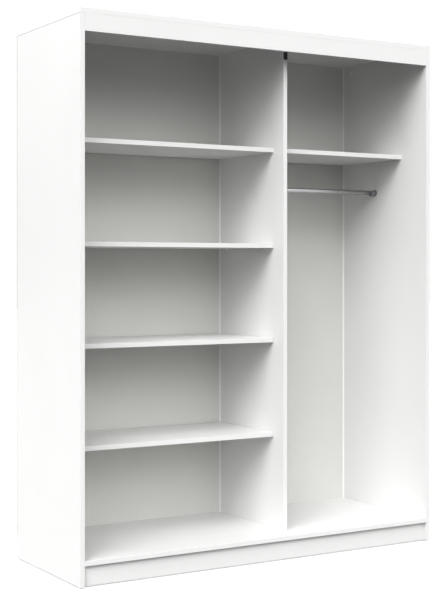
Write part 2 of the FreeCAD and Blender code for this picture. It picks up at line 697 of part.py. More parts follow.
# ---------------------------------------------------------------------------
# Upper track, its screws and stops, and the divider's buffer
# ---------------------------------------------------------------------------
def track_outline(sketch):
    """Section of the track: two channels side by side, with running lips."""
    wall = "Sizes.track_wall"
    lip = "Sizes.track_lip"
    deep = "Sizes.track_depth"
    middle = "Sizes.track_depth / 2"
    low = "-Sizes.track_height"
    lip_top = f"{low} + {wall}"
    ceiling = f"-{wall}"
    draw_outline(sketch, (
        ("0", "0"),
        ("0", low),
        (f"{wall} + {lip}", low),
        (f"{wall} + {lip}", lip_top),
        (wall, lip_top),
        (wall, ceiling),
        (f"{middle} - {wall} / 2", ceiling),
        (f"{middle} - {wall} / 2", lip_top),
        (f"{middle} - {wall} / 2 - {lip}", lip_top),
        (f"{middle} - {wall} / 2 - {lip}", low),
        (f"{middle} + {wall} / 2 + {lip}", low),
        (f"{middle} + {wall} / 2 + {lip}", lip_top),
        (f"{middle} + {wall} / 2", lip_top),
        (f"{middle} + {wall} / 2", ceiling),
        (f"{deep} - {wall}", ceiling),
        (f"{deep} - {wall}", lip_top),
        (f"{deep} - {wall} - {lip}", lip_top),
        (f"{deep} - {wall} - {lip}", low),
        (deep, low),
        (deep, "0"),
    ))


def upper_track():
    start = f"({INNER_LEFT} + Sizes.track_end_gap)"
    length = f"({INNER_RIGHT} - {INNER_LEFT} - 2 * Sizes.track_end_gap)"
    extrusion = extruded_part("TrackExtrusion", "YZ_Plane", track_outline, length)
    bind_place(extrusion, (start, TRACK_FRONT, CEILING))

    channels = (
        f"({TRACK_FRONT} + Sizes.track_depth / 4)",
        f"({TRACK_FRONT} + Sizes.track_depth * 3 / 4)",
    )
    step = f"(({length} - 2 * Sizes.track_screw_inset) / {TRACK_SCREWS - 1})"
    holes = []
    places = []
    for index in range(TRACK_SCREWS):
        x = f"({start} + Sizes.track_screw_inset + {index} * {step})"
        spot = (x, channels[index % 2], f"({CEILING} - Sizes.track_wall)")
        holes.append(bore("+z", spot, clear("Sizes.screw_width"), "Sizes.track_wall"))
        above = (x, channels[index % 2], CEILING)
        depth = "Sizes.short_screw - Sizes.track_wall + Sizes.fit"
        drill(("top_panel",), bore("+z", above, clear("Sizes.screw_width"), depth))
        places.append(placed("+z", spot))
    keep("upper_track", cut("upper_track", extrusion, holes))
    keep_group("upper_track_screws", wood_screw("track_screw_master", "Sizes.short_screw"), places)
    track_stops(start, length)


def track_stops(start, length):
    """A rubber stop rests on the lips in both ends of both channels."""
    inside = "(Sizes.track_depth / 2 - 1.5 * Sizes.track_wall)"
    inner_height = "(Sizes.track_height - 2 * Sizes.track_wall)"
    stop = block(
        "StopMaster",
        ("0", "Sizes.stop_length"),
        (f"-({inside} / 2 - Sizes.stop_clearance)", f"{inside} / 2 - Sizes.stop_clearance"),
        ("0", f"{inner_height} - Sizes.screw_head_height - Sizes.stop_clearance"),
    )
    first = f"({TRACK_FRONT} + Sizes.track_wall + {inside} / 2)"
    second = f"({TRACK_FRONT} + Sizes.track_depth - Sizes.track_wall - {inside} / 2)"
    lip_top = f"({TRACK_BOTTOM} + Sizes.track_wall)"
    places = []
    for x in (start, f"({start} + {length} - Sizes.stop_length)"):
        for y in (first, second):
            places.append(placed("+z", (x, y, lip_top)))
    keep_group("track_stops", stop, places)


def divider_buffer():
    """A black rubber pad on the front edge of the divider, behind the fascia's lower edge."""
    bottom = f"({FASCIA_BOTTOM} - Sizes.buffer_drop)"
    pad = block(
        "Buffer",
        (DIVIDER_LEFT, DIVIDER_RIGHT),
        (f"{DIVIDER_FRONT} - Sizes.buffer_thickness", DIVIDER_FRONT),
        (bottom, f"{bottom} + Sizes.buffer_height"),
    )
    keep("divider_buffer", pad)


# ---------------------------------------------------------------------------
# Nails, corner beads, corner blocks and glides
# ---------------------------------------------------------------------------
def back_board_nails():
    nail = turned_part("nail_master", (
        ("0", "0"),
        ("Sizes.nail_head / 2", "0"),
        ("Sizes.nail_head / 2", "Sizes.nail_head_height"),
        ("Sizes.nail_width / 2", "Sizes.nail_head_height"),
        ("Sizes.nail_width / 2", "Sizes.nail_length - 2 * Sizes.nail_width"),
        ("0", "Sizes.nail_length"),
    ))
    columns = (
        ("back_board_left", "side_panel_left", f"({LEFT} + Sizes.board / 2)"),
        ("back_board_left", "divider_panel", f"({DIVIDER_MIDDLE} - Sizes.nail_edge)"),
        ("back_board_right", "divider_panel", f"({DIVIDER_MIDDLE} + Sizes.nail_edge)"),
        ("back_board_right", "side_panel_right", f"({RIGHT} - Sizes.board / 2)"),
    )
    step = f"(({CEILING} - {FLOOR_TOP} - 2 * Sizes.nail_first) / {NAILS_IN_A_COLUMN - 1})"
    places = []
    for back, upright, x in columns:
        for index in range(NAILS_IN_A_COLUMN):
            spot = (x, REAR, f"({FLOOR_TOP} + Sizes.nail_first + {index} * {step})")
            shank = bore("-y", spot, clear("Sizes.nail_width"), "Sizes.nail_length + Sizes.fit")
            drill((back, upright), shank)
            drill((back,), bore("-y", spot, clear("Sizes.nail_head"), "Sizes.nail_head_height"))
            places.append(placed("-y", spot))
    keep_group("back_board_nails", nail, places)


def corner_beads():
    """A slim white bead closes each upright corner between a board and the back."""
    corners = (
        ("corner_bead_left_bay_left", INNER_LEFT, 1),
        ("corner_bead_left_bay_right", DIVIDER_LEFT, -1),
        ("corner_bead_right_bay_left", DIVIDER_RIGHT, 1),
        ("corner_bead_right_bay_right", INNER_RIGHT, -1),
    )
    for name, x, side in corners:
        outline = (("0", "0"), (f"{side} * Sizes.bead_leg", "0"), ("0", "-Sizes.bead_leg"))
        bead = extruded_part(
            name,
            "XY_Plane",
            lambda sketch, outline=outline: draw_outline(sketch, outline),
            f"{CEILING} - {FLOOR_TOP}",
        )
        bind_place(bead, (x, PANEL_REAR, FLOOR_TOP))
        keep(name, bead)


def corner_block_master():
    """A plastic block that sits in the corner of two boards; both lie towards -Y and +Z of it."""
    def square(sketch):
        draw_outline(sketch, (
            ("0", "0"),
            ("Sizes.block_size", "0"),
            ("Sizes.block_size", "Sizes.block_size"),
            ("0", "Sizes.block_size"),
        ))

    body = extruded_part("BlockBody", "XY_Plane", square, "Sizes.block_size")
    middle = "Sizes.block_size / 2"
    first = f"{middle} - Sizes.block_screw_offset"
    second = f"{middle} + Sizes.block_screw_offset"
    sunk = "Sizes.screw_head_height + Sizes.fit"
    size = "Sizes.block_size"
    cutters = [
        bore("+z", (first, middle, "0"), clear("Sizes.screw_width"), size),
        bore("+z", (first, middle, "0"), clear("Sizes.screw_head"), sunk),
        bore("-y", (second, size, middle), clear("Sizes.screw_width"), size),
        bore("-y", (second, size, middle), clear("Sizes.screw_head"), sunk),
    ]
    return cut("block_master", body, cutters)


def corner_blocks():
    """Blocks that hold the bottom panel down to both plinths, with two screws each."""
    outer_left = f"({INNER_LEFT} + Sizes.block_end_inset)"
    outer_right = f"({INNER_RIGHT} - Sizes.block_end_inset)"
    between_crosspieces = f"(({' + '.join(CROSSPIECES.values())}) / {len(CROSSPIECES)})"
    columns = (outer_left, between_crosspieces, outer_right)
    offset = "Sizes.block_screw_offset"
    sunk = "(Sizes.screw_head_height + Sizes.fit)"
    pilot = f"Sizes.long_screw + {sunk} - Sizes.block_size + Sizes.fit"
    level = "(Sizes.plinth_height - Sizes.block_size / 2)"
    floor = "(Sizes.plinth_height - Sizes.block_size)"
    rows = (
        ("plinth_front", PLINTH_INSIDE, "-y", 1),
        ("plinth_rear", REAR_PLINTH_INSIDE, "+y", -1),
    )
    blocks = []
    screws = []
    for plinth, face, axis, inward in rows:
        away = f"({face} + {inward} * Sizes.block_size)"
        middle = f"({face} + {inward} * Sizes.block_size / 2)"
        for x in columns:
            up_x = f"({x} - {inward} * {offset})"
            along_x = f"({x} + {inward} * {offset})"
            under = (up_x, middle, "Sizes.plinth_height")
            drill(("bottom_panel",), bore("+z", under, clear("Sizes.screw_width"), pilot))
            drill((plinth,), bore(axis, (along_x, face, level), clear("Sizes.screw_width"), pilot))
            screws.append(placed("+z", (up_x, middle, f"({floor} + {sunk})")))
            screws.append(placed(axis, (along_x, f"({away} - {inward} * {sunk})", level)))
            corner = f"({x} - {inward} * Sizes.block_size / 2)"
            blocks.append(placed("+z", (corner, face, floor), toward="+x" if inward > 0 else "-x"))
    keep_group("corner_blocks", corner_block_master(), blocks)
    keep_group("corner_block_screws", wood_screw("block_screw_master", "Sizes.long_screw"), screws)


def floor_glides():
    radius = "Sizes.glide_width / 2"
    glide = turned_part("glide_master", (
        ("0", "0"),
        (f"{radius} - Sizes.glide_height / 3", "0"),
        (radius, "Sizes.glide_height / 3"),
        (radius, "Sizes.glide_height"),
        ("Sizes.glide_pin / 2", "Sizes.glide_height"),
        ("Sizes.glide_pin / 2", "Sizes.glide_height + Sizes.glide_pin_length - Sizes.glide_pin"),
        ("0", "Sizes.glide_height + Sizes.glide_pin_length"),
    ))
    panel_rows = (f"({FRONT} + Sizes.glide_inset)", f"({PANEL_REAR} - Sizes.glide_inset)")
    cross_rows = (f"({PLINTH_INSIDE} + Sizes.glide_inset)", f"({REAR_PLINTH_INSIDE} - Sizes.glide_inset)")
    columns = [
        ("side_panel_left", f"({LEFT} + Sizes.board / 2)", panel_rows),
        ("side_panel_right", f"({RIGHT} - Sizes.board / 2)", panel_rows),
    ]
    columns += [(name, x, cross_rows) for name, x in CROSSPIECES.items()]
    places = []
    for name, x, rows in columns:
        for y in rows:
            under = (x, y, "Sizes.glide_height")
            depth = "Sizes.glide_pin_length + Sizes.fit"
            drill((name,), bore("+z", under, clear("Sizes.glide_pin"), depth))
            places.append(placed("+z", (x, y, "0")))
    keep_group("floor_glides", glide, places)


# ---------------------------------------------------------------------------
# Build, check and write
# ---------------------------------------------------------------------------
def finish_boards():
    """Cuts every noted bore from its board."""
    for name, (x, y, z) in blanks.items():
        keep(name, cut(name, block(name + "_blank", x, y, z), tools[name]))


def check_and_write():
    doc.recompute()
    failed = [thing.Name for thing in doc.Objects if {"Invalid", "Error"} & set(thing.State)]
    if failed:
        raise RuntimeError(f"failed objects: {failed}")
    for name, thing in parts.items():
        if thing.Shape.isNull() or not thing.Shape.isValid():
            raise RuntimeError(f"{name} has no valid shape")
    os.makedirs("parts", exist_ok=True)
    for name, thing in parts.items():
        thing.Shape.exportStep(f"parts/{name}.step")
        print(f"{name}: {len(thing.Shape.Solids)} solid(s), {thing.Shape.Volume / 1000:.1f} cm3")


carcass_screws()
cams()
dowels()
loose_shelves()
rail_hardware()
upper_track()
divider_buffer()
back_board_nails()
corner_beads()
corner_blocks()
floor_glides()
finish_boards()
check_and_write()
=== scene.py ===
# %% [markdown]
# # An open wardrobe carcass for sliding doors
#
# The wardrobe is a flat-pack carcass: white melamine boards, two thin grey back boards, a hanging
# rail and the small hardware that holds it all together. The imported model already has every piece
# at its real size, so this lesson is about the finish: softened edges, edge banding, moulded and
# turned hardware, and materials that are drawn by nodes.

import json
import math

import bmesh
import bpy
from mathutils import Matrix, Vector

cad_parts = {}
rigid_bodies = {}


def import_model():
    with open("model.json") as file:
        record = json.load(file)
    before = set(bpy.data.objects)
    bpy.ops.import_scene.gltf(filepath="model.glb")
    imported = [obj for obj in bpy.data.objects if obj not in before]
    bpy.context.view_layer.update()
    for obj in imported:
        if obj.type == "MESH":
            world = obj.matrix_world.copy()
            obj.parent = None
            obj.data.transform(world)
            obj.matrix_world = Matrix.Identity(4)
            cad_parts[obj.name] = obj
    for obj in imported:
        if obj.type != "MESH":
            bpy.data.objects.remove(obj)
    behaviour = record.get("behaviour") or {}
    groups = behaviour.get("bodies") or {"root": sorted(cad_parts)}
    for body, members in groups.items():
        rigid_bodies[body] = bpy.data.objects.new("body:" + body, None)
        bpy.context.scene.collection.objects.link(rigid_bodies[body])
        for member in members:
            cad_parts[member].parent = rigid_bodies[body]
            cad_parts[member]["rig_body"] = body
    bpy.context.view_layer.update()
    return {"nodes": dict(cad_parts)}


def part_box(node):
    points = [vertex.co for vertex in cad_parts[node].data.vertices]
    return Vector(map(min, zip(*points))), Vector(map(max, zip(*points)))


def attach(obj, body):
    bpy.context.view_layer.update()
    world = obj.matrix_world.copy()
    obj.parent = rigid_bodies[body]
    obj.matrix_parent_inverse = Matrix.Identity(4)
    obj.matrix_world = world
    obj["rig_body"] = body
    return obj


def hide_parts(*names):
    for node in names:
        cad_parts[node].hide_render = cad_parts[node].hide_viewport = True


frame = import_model()
MM = 0.001

# %% [markdown]
# ## Camera
#
# A product picture of furniture is taken from far away with a long lens, so that upright edges stay
# upright and the far side is hardly smaller than the near one. Keeping the camera level keeps the
# edges upright. A level camera at chest height would put the floor line too high, so the lens is
# shifted down a little, as an architect's camera does it, and the camera isn't tilted.

# %% Camera
CAMERA_TURN = math.radians(31.34)
CAMERA_SPOT = Vector((-2.8526, -4.6300, 1.1584))
LENS = 79.22
LENS_SHIFT = -0.0533

camera = bpy.data.objects.new("camera", bpy.data.cameras.new("camera"))
bpy.context.scene.collection.objects.link(camera)
camera.location = CAMERA_SPOT
camera.rotation_euler = (math.pi / 2, 0, -CAMERA_TURN)
camera.data.lens = LENS
camera.data.shift_y = LENS_SHIFT
bpy.context.scene.camera = camera
print("camera to the middle of the wardrobe:", round(CAMERA_SPOT.xy.length, 2), "m")

# %% [markdown]
# ## Node tools
#
# A finish is a small graph of nodes. Written out link by link, such a graph is hard to read, so three
# small classes help. A Wire is an output socket that arithmetic works on: each operator adds a
# Math node. A Graph has one method that adds any node. A Finish is a material's graph with one
# Principled shader in it.

# %% Wires and finishes
class Wire:
    """An output socket of a graph; arithmetic on it adds Math nodes."""

    def __init__(self, graph, socket):
        self.graph = graph
        self.socket = socket

    def maths(self, operation, first, second):
        return self.graph.add("ShaderNodeMath", {"operation": operation}, {0: first, 1: second})

    def __add__(self, other):
        return self.maths("ADD", self, other)

    def __radd__(self, other):
        return self.maths("ADD", other, self)

    def __sub__(self, other):
        return self.maths("SUBTRACT", self, other)

    def __rsub__(self, other):
        return self.maths("SUBTRACT", other, self)

    def __mul__(self, other):
        return self.maths("MULTIPLY", self, other)

    def __rmul__(self, other):
        return self.maths("MULTIPLY", other, self)


class Graph:
    """A node tree that starts out empty."""

    def __init__(self, tree):
        self.tree = tree
        self.tree.nodes.clear()

    def add(self, kind, settings=None, sockets=None, out=0):
        """Adds a node: first its settings, then its sockets, and gives one of its outputs."""
        node = self.tree.nodes.new(kind)
        for name, setting in (settings or {}).items():
            if name == "stops":
                self.set_stops(node.color_ramp, setting)
            else:
                setattr(node, name, setting)
        for name, amount in (sockets or {}).items():
            self.feed(node.inputs[name], amount)
        return Wire(self, node.outputs[out])

    def set_stops(self, ramp, stops):
        while len(ramp.elements) < len(stops):
            ramp.elements.new(1.0)
        for element, (place, colour) in zip(ramp.elements, stops):
            element.position = place
            element.color = (*colour, 1.0)

    def feed(self, socket, amount):
        """Links a wire to a socket, or sets the socket to a value."""
        if isinstance(amount, Wire):
            self.tree.links.new(amount.socket, socket)
        elif socket.type == "RGBA":
            socket.default_value = (*amount, 1.0)
        else:
            socket.default_value = amount


class Finish(Graph):
    """A material with one Principled shader, and the nodes that feed it."""

    def __init__(self, name, shine=0.5, metallic=0.0):
        self.material = bpy.data.materials.new(name)
        self.material.use_nodes = True
        super().__init__(self.material.node_tree)
        self.shader = self.tree.nodes.new("ShaderNodeBsdfPrincipled")
        output = self.tree.nodes.new("ShaderNodeOutputMaterial")
        self.tree.links.new(self.shader.outputs["BSDF"], output.inputs["Surface"])
        self.shader.inputs["Specular IOR Level"].default_value = shine
        self.shader.inputs["Metallic"].default_value = metallic

    def place(self, stretch=(1, 1, 1)):
        """The position on the piece, stretched by a factor on each axis."""
        position = self.add("ShaderNodeTexCoord", out="Object")
        return self.add("ShaderNodeMapping", None, {"Vector": position, "Scale": stretch})

    def noise(self, scale, detail=2.0, stretch=(1, 1, 1), rough=0.5):
        sockets = {
            "Vector": self.place(stretch),
            "Scale": scale,
            "Detail": detail,
            "Roughness": rough,
        }
        return self.add("ShaderNodeTexNoise", None, sockets, out="Fac")

    def blend(self, share, first, second):
        """A mix of two colours."""
        settings = {"data_type": "RGBA"}
        return self.add("ShaderNodeMix", settings, {0: share, 6: first, 7: second}, out=2)

    def stretch_range(self, amount, low, high):
        """Maps low..high to 0..1 and clips what is outside."""
        sockets = {"Value": amount, "From Min": low, "From Max": high}
        return self.add("ShaderNodeMapRange", {"clamp": True}, sockets)

    def bump(self, height, depth, strength=1.0):
        """Raises the surface by a height from 0 to 1, over a depth in metres."""
        sockets = {"Height": height, "Distance": depth, "Strength": strength}
        return self.add("ShaderNodeBump", None, sockets, out="Normal")

    def paint(self, **wires):
        """Feeds the shader, and gives the finished material."""
        for name, wire in wires.items():
            self.feed(self.shader.inputs[name.replace("_", " ").title()], wire)
        return self.material


# %% [markdown]
# ## Melamine
#
# Melamine is printed paper, soaked in resin and pressed on to chipboard with a steel plate. The
# plate leaves a very fine pearl: dimples about a millimetre apart, only hundredths of a millimetre
# deep. It could be real geometry, but that needs millions of faces, so a bump from two noises
# gives it. The paper is never perfectly even, so a slow noise moves the white by about a hundredth.
#
# A board's arris, the narrow rounded strip where two faces meet, gets rubbed in handling and holds
# a little dust. The boards carry a face attribute named "arris", and the finish reads it. A second
# attribute, "seam", marks the arrises of the joint under the top panel. No light gets into that
# joint, and it is only a hair wide, so its shade is painted on as a near black colour, to be seen
# from across a room.

# %% Melamine
WHITE = (0.74, 0.74, 0.735)
WHITE_SHADE = (0.724, 0.724, 0.719)
ARRIS_GREY = (0.64, 0.64, 0.63)
# The near black that is painted on the seam as its shade.
SEAM_PAINTED_SHADE = (0.06, 0.06, 0.058)
PEARL_SCALE = 850
PEEL_SCALE = 140


def arris_wear(finish):
    """How rubbed the surface is: 0 on a board's faces, and uneven along its arrises."""
    arris = finish.add("ShaderNodeAttribute", {"attribute_name": "arris"}, out="Fac")
    patches = finish.stretch_range(finish.noise(9, 5), 0.35, 0.7)
    return arris * (0.25 + patches * 0.75)


def worn_with_painted_seam_shade(finish, white, wear):
    """A white with rubbed arrises, and painted shade in the seams."""
    seam = finish.add("ShaderNodeAttribute", {"attribute_name": "seam"}, out="Fac")
    # The seam's near black is painted shade, for the joint that no light gets into.
    return finish.blend(seam, finish.blend(wear, white, ARRIS_GREY), SEAM_PAINTED_SHADE)


def melamine():
    finish = Finish("white_melamine", shine=0.45)
    pearl = finish.noise(PEARL_SCALE, 1)
    peel = finish.noise(PEEL_SCALE, 2)
    paper = finish.stretch_range(finish.noise(2.5, 4), 0.35, 0.65)
    wear = arris_wear(finish)
    return finish.paint(
        base_color=worn_with_painted_seam_shade(finish, finish.blend(paper, WHITE_SHADE, WHITE), wear),
        roughness=0.36 + pearl * 0.1 + wear * 0.1,
        normal=finish.bump(pearl * 0.6 + peel * 0.4, 0.02 * MM),
    )


MELAMINE = melamine()
print("finish:", MELAMINE.name, len(MELAMINE.node_tree.nodes), "nodes")

# %% [markdown]
# ## Edge banding
#
# The visible edges of a board are covered by a plastic strip, glued on and trimmed. It is the same
# white, a touch smoother than the melamine, and shows fine marks from trimming and scraping. The
# strips run along X, along Y or along Z, so the marks are a noise without a direction of its own,
# which suits every strip.

# %% Edge banding
def edge_banding():
    finish = Finish("white_edge_banding", shine=0.5)
    scrape = finish.noise(420, 3)
    batch = finish.stretch_range(finish.noise(1.7, 2), 0.3, 0.7)
    wear = arris_wear(finish)
    return finish.paint(
        base_color=worn_with_painted_seam_shade(finish, finish.blend(batch, WHITE_SHADE, WHITE), wear),
        roughness=0.28 + scrape * 0.12 + wear * 0.12,
        normal=finish.bump(scrape, 0.012 * MM),
    )


BANDING = edge_banding()
print("finish:", BANDING.name)

# %% [markdown]
# ## Chipboard core
#
# Where a board has no banding, and in every drilled hole, its core shows: flat chips of pale and
# brown wood, pressed together. Voronoi cells have the look of chips, and a random colour for each
# cell goes through a ramp of wood browns. A finer noise breaks the cells up.

# %% Chipboard
CHIP_SCALE = 420


def chipboard():
    finish = Finish("chipboard_core", shine=0.25)
    place = finish.place((1, 0.45, 1))
    cell = finish.add("ShaderNodeTexVoronoi", None, {"Vector": place, "Scale": CHIP_SCALE}, out="Color")
    tone = finish.add("ShaderNodeSeparateColor", None, {"Color": cell}, out="Red")
    browns = (
        (0.0, (0.13, 0.075, 0.035)),
        (0.35, (0.32, 0.2, 0.1)),
        (0.7, (0.52, 0.36, 0.2)),
        (1.0, (0.68, 0.52, 0.33)),
    )
    fibre = finish.noise(1400, 3)
    mixed = tone * 0.8 + fibre * 0.2
    chips = finish.add("ShaderNodeValToRGB", {"stops": browns}, {"Fac": mixed}, out="Color")
    return finish.paint(
        base_color=chips,
        roughness=0.75 + fibre * 0.15,
        normal=finish.bump(tone * 0.6 + fibre * 0.4, 0.25 * MM),
    )


CHIPBOARD = chipboard()
print("finish:", CHIPBOARD.name)

# %% [markdown]
# ## Hardboard backs
#
# The backs are 3 mm hardboard. The face that shows inside the wardrobe is painted pale grey, with a
# roller's fine stipple and slow clouds where the paint went on thicker. The other face is raw brown
# fibre, pressed on a wire screen, which leaves a grid of little pits. The grid comes from two wave
# textures at right angles.

# %% Hardboard
BACK_GREY = (0.655, 0.66, 0.632)
BACK_GREY_SHADE = (0.637, 0.642, 0.614)
FIBRE_DARK = (0.15, 0.085, 0.045)
FIBRE_LIGHT = (0.3, 0.19, 0.11)
SCREEN_SCALE = 105


def painted_hardboard():
    finish = Finish("painted_hardboard", shine=0.3)
    stipple = finish.noise(700, 2)
    clouds = finish.stretch_range(finish.noise(5, 4), 0.35, 0.65)
    return finish.paint(
        base_color=finish.blend(clouds, BACK_GREY_SHADE, BACK_GREY),
        roughness=0.55 + stipple * 0.15,
        normal=finish.bump(stipple, 0.03 * MM),
    )


def raw_hardboard():
    finish = Finish("raw_hardboard", shine=0.25)
    grid = [
        finish.add(
            "ShaderNodeTexWave",
            {"bands_direction": direction},
            {"Vector": finish.place(), "Scale": SCREEN_SCALE, "Distortion": 0.4},
            out="Fac",
        )
        for direction in "XZ"
    ]
    pits = grid[0] * grid[1]
    fibre = finish.noise(60, 6, (1, 1, 0.4), 0.65)
    return finish.paint(
        base_color=finish.blend(0.7 * fibre + 0.3 * pits, FIBRE_DARK, FIBRE_LIGHT),
        roughness=0.7 + fibre * 0.2,
        normal=finish.bump(pits, 0.12 * MM),
    )


PAINTED_BACK = painted_hardboard()
RAW_BACK = raw_hardboard()
print("finishes:", PAINTED_BACK.name, RAW_BACK.name)

# %% [markdown]
# ## Metals
#
# Each metal in the wardrobe was made another way, and that is what the eye reads. The rail is drawn
# tube with marks along its length. The cups, and the cams in the boards, are zinc castings with a
# fine skin. The track is extruded aluminium, with die lines along it. The screws and nails are
# plated steel, slightly cloudy. One function draws all four: what differs is how far the noise is
# stretched, how rough the metal is and its colour.

# %% Metals
def metal(name, colour, shade, rough, marks, stretch=(1, 1, 1), depth=0.01 * MM):
    """A metal whose marks come from one noise, stretched along the way that it was worked."""
    finish = Finish(name, metallic=1.0)
    grain = finish.noise(marks, 3, stretch)
    haze = finish.stretch_range(finish.noise(22, 3), 0.3, 0.7)
    return finish.paint(
        base_color=finish.blend(haze, shade, colour),
        roughness=rough - 0.08 + grain * 0.1 + haze * 0.06,
        normal=finish.bump(grain, depth),
    )


ALONG_X = (0.02, 1, 1)
RAIL_STEEL = metal("rail_steel", (0.42, 0.42, 0.43), (0.34, 0.34, 0.35), 0.36, 900, ALONG_X)
ZINC = metal("zinc_casting", (0.3, 0.3, 0.31), (0.22, 0.22, 0.23), 0.5, 600, depth=0.05 * MM)
ALUMINIUM = metal("track_aluminium", (0.78, 0.78, 0.79), (0.7, 0.7, 0.71), 0.38, 1200, ALONG_X)
PLATED = metal("plated_steel", (0.68, 0.68, 0.66), (0.55, 0.55, 0.54), 0.3, 350, depth=0.02 * MM)
print("metals:", [m.name for m in (RAIL_STEEL, ZINC, ALUMINIUM, PLATED)])

# %% [markdown]
# ## Plastic, rubber and beech
#
# The caps, covers, supports, beads and glides are moulded in white plastic. Their mould was spark
# eroded, which leaves an even, very fine matt skin. The pad on the divider and the stops in the
# track are black rubber: dull, with a bloom of dust. The dowels are beech, which is known by its
# short dark flecks along the grain.

# %% Plastic, rubber, beech
PLASTIC_WHITE = (0.9, 0.9, 0.89)
PLASTIC_SHADE = (0.87, 0.87, 0.86)


def white_plastic():
    finish = Finish("white_plastic", shine=0.5)
    erosion = finish.noise(1600, 2)
    flow = finish.stretch_range(finish.noise(40, 2), 0.3, 0.7)
    return finish.paint(
        base_color=finish.blend(flow, PLASTIC_SHADE, PLASTIC_WHITE),
        roughness=0.42 + erosion * 0.12,
        normal=finish.bump(erosion, 0.02 * MM),
    )


def black_rubber():
    finish = Finish("black_rubber", shine=0.35)
    skin = finish.noise(900, 3)
    dust = finish.stretch_range(finish.noise(70, 5), 0.5, 0.8)
    return finish.paint(
        base_color=finish.blend(dust, (0.012, 0.012, 0.012), (0.04, 0.04, 0.038)),
        roughness=0.65 + skin * 0.2,
        normal=finish.bump(skin, 0.05 * MM),
    )


def beech():
    finish = Finish("beech", shine=0.3)
    grain = finish.noise(500, 4, (1, 1, 0.15))
    fleck = finish.stretch_range(finish.noise(1500, 2, (1, 1, 0.3)), 0.62, 0.7)
    wood = finish.blend(grain, (0.55, 0.36, 0.2), (0.72, 0.52, 0.33))
    return finish.paint(
        base_color=finish.blend(fleck, wood, (0.3, 0.17, 0.09)),
        roughness=0.55 + grain * 0.2,
        normal=finish.bump(grain, 0.05 * MM),
    )


PLASTIC = white_plastic()
RUBBER = black_rubber()
BEECH = beech()
print("finishes:", [m.name for m in (PLASTIC, RUBBER, BEECH)])

# %% [markdown]
# ## From bmesh to piece
#
# A shape is made as a bmesh, Blender's editable mesh. The helper here turns it into an object with
# its materials, hides the plain model's node that it stands for, and lets it ride on the same body,
# so that a shelf still slides and the rail still lifts out.

# %% New pieces
made = []


def new_piece(name, shape, materials, slot, *nodes):
    """An object for a finished shape, in place of the nodes that it stands for."""
    mesh = bpy.data.meshes.new(name)
    shape.to_mesh(mesh)
    shape.free()
    for material in materials:
        mesh.materials.append(material)
    piece = bpy.data.objects.new(name, mesh)
    bpy.context.scene.collection.objects.link(piece)
    body = frame["nodes"][nodes[0]]["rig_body"]
    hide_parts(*nodes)
    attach(piece, body)
    made.append(name)
    return piece


# %% [markdown]
# ## Booleans
#
# Some shapes are easiest to make as one shape cut by another, or as what two shapes share. A Boolean
# modifier does both. A modifier needs objects, so two are made for it, and the result is read back
# from the evaluated copy before they are removed. The exact solver also copes with faces that lie
# in the same plane.

# %% Booleans
def as_object(shape):
    mesh = bpy.data.meshes.new("blank")
    shape.to_mesh(mesh)
    shape.free()
    thing = bpy.data.objects.new("blank", mesh)
    bpy.context.scene.collection.objects.link(thing)
    return thing


def combined(shape, other, operation):
    """A shape minus another ("DIFFERENCE"), or what two shapes share ("INTERSECT")."""
    base, tool = as_object(shape), as_object(other)
    modifier = base.modifiers.new("boolean", "BOOLEAN")
    modifier.operation = operation
    modifier.solver = "EXACT"
    modifier.object = tool
    graph = bpy.context.evaluated_depsgraph_get()
    mesh = bpy.data.meshes.new_from_object(base.evaluated_get(graph))
    result = bmesh.new()
    result.from_mesh(mesh)
    bpy.data.meshes.remove(mesh)
    for thing in (base, tool):
        bpy.data.objects.remove(thing)
    return result


# %% [markdown]
# ## Softened shapes
#
# No board has a knife edge: the arris is eased by about half a millimetre so that it doesn't chip.
# The drilled holes are in the model's own mesh, so each board starts from a copy of it. That mesh is
# loose triangles, so the copy's doubles are merged and its flat faces are dissolved into one face
# each and shaded flat: smooth shading would bend the light across a whole board. Then a plain box is
# bevelled, and the board keeps what it shares with that box. This eases the outer edges alone, and
# leaves the holes as they were.
#
# Small blocks are bevelled as they are. Hole rims are square too but short, so a least length keeps
# them out.

# %% Softening
MERGE = 0.001 * MM
FLAT = math.radians(1)
SQUARE = math.radians(60)


def copy_of(node):
    """A node's own shape with its triangles merged into whole flat faces."""
    shape = bmesh.new()
    shape.from_mesh(frame["nodes"][node].data)
    bmesh.ops.remove_doubles(shape, verts=shape.verts, dist=MERGE)
    bmesh.ops.dissolve_limit(shape, angle_limit=FLAT, verts=shape.verts, edges=shape.edges)
    for face in shape.faces:
        face.smooth = False
    return shape


def rounded(shape, edges, radius, segments):
    bmesh.ops.bevel(
        shape,
        geom=edges,
        offset=radius,
        offset_type="OFFSET",
        affect="EDGES",
        segments=segments,
        profile=0.5,
        material=-1,
        clamp_overlap=True,
    )
    return shape


def softened(node, radius, least_length, segments=3):
    """A copy of a small block with its long square edges rounded."""
    shape = copy_of(node)
    edges = [
        edge
        for edge in shape.edges
        if len(edge.link_faces) == 2
        and edge.calc_face_angle() > SQUARE
        and edge.calc_length() > least_length
    ]
    return rounded(shape, edges, radius, segments)


def insets(face, low, high):
    """How far the middle of a face lies inside a box, on each axis."""
    middle = face.calc_center_median()
    return [min(middle[axis] - low[axis], high[axis] - middle[axis]) for axis in range(3)]


def eased(node, radius, segments=2):
    """A copy of a board with rounded arrises, which the attribute "arris" marks."""
    low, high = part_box(node)
    box = bmesh.new()
    bmesh.ops.create_cube(box, size=1)
    bmesh.ops.scale(box, vec=high - low, verts=box.verts)
    bmesh.ops.translate(box, vec=(low + high) / 2, verts=box.verts)
    shape = combined(copy_of(node), rounded(box, box.edges[:], radius, segments), "INTERSECT")
    arris = shape.faces.layers.float.new("arris")
    for face in shape.faces:
        close = [inset for inset in insets(face, low, high) if inset < radius]
        face[arris] = 1.0 if len(close) > 1 else 0.0
    return shape


# %% [markdown]
# ## Banded edges and raw edges
#
# The banding is a strip about a millimetre thick. Cutting the board with a plane just behind a
# banded edge gives the strip its own faces, which then take the banding finish. Thin edges without
# banding, such as those at the rear, and the walls of the holes take the chipboard finish.

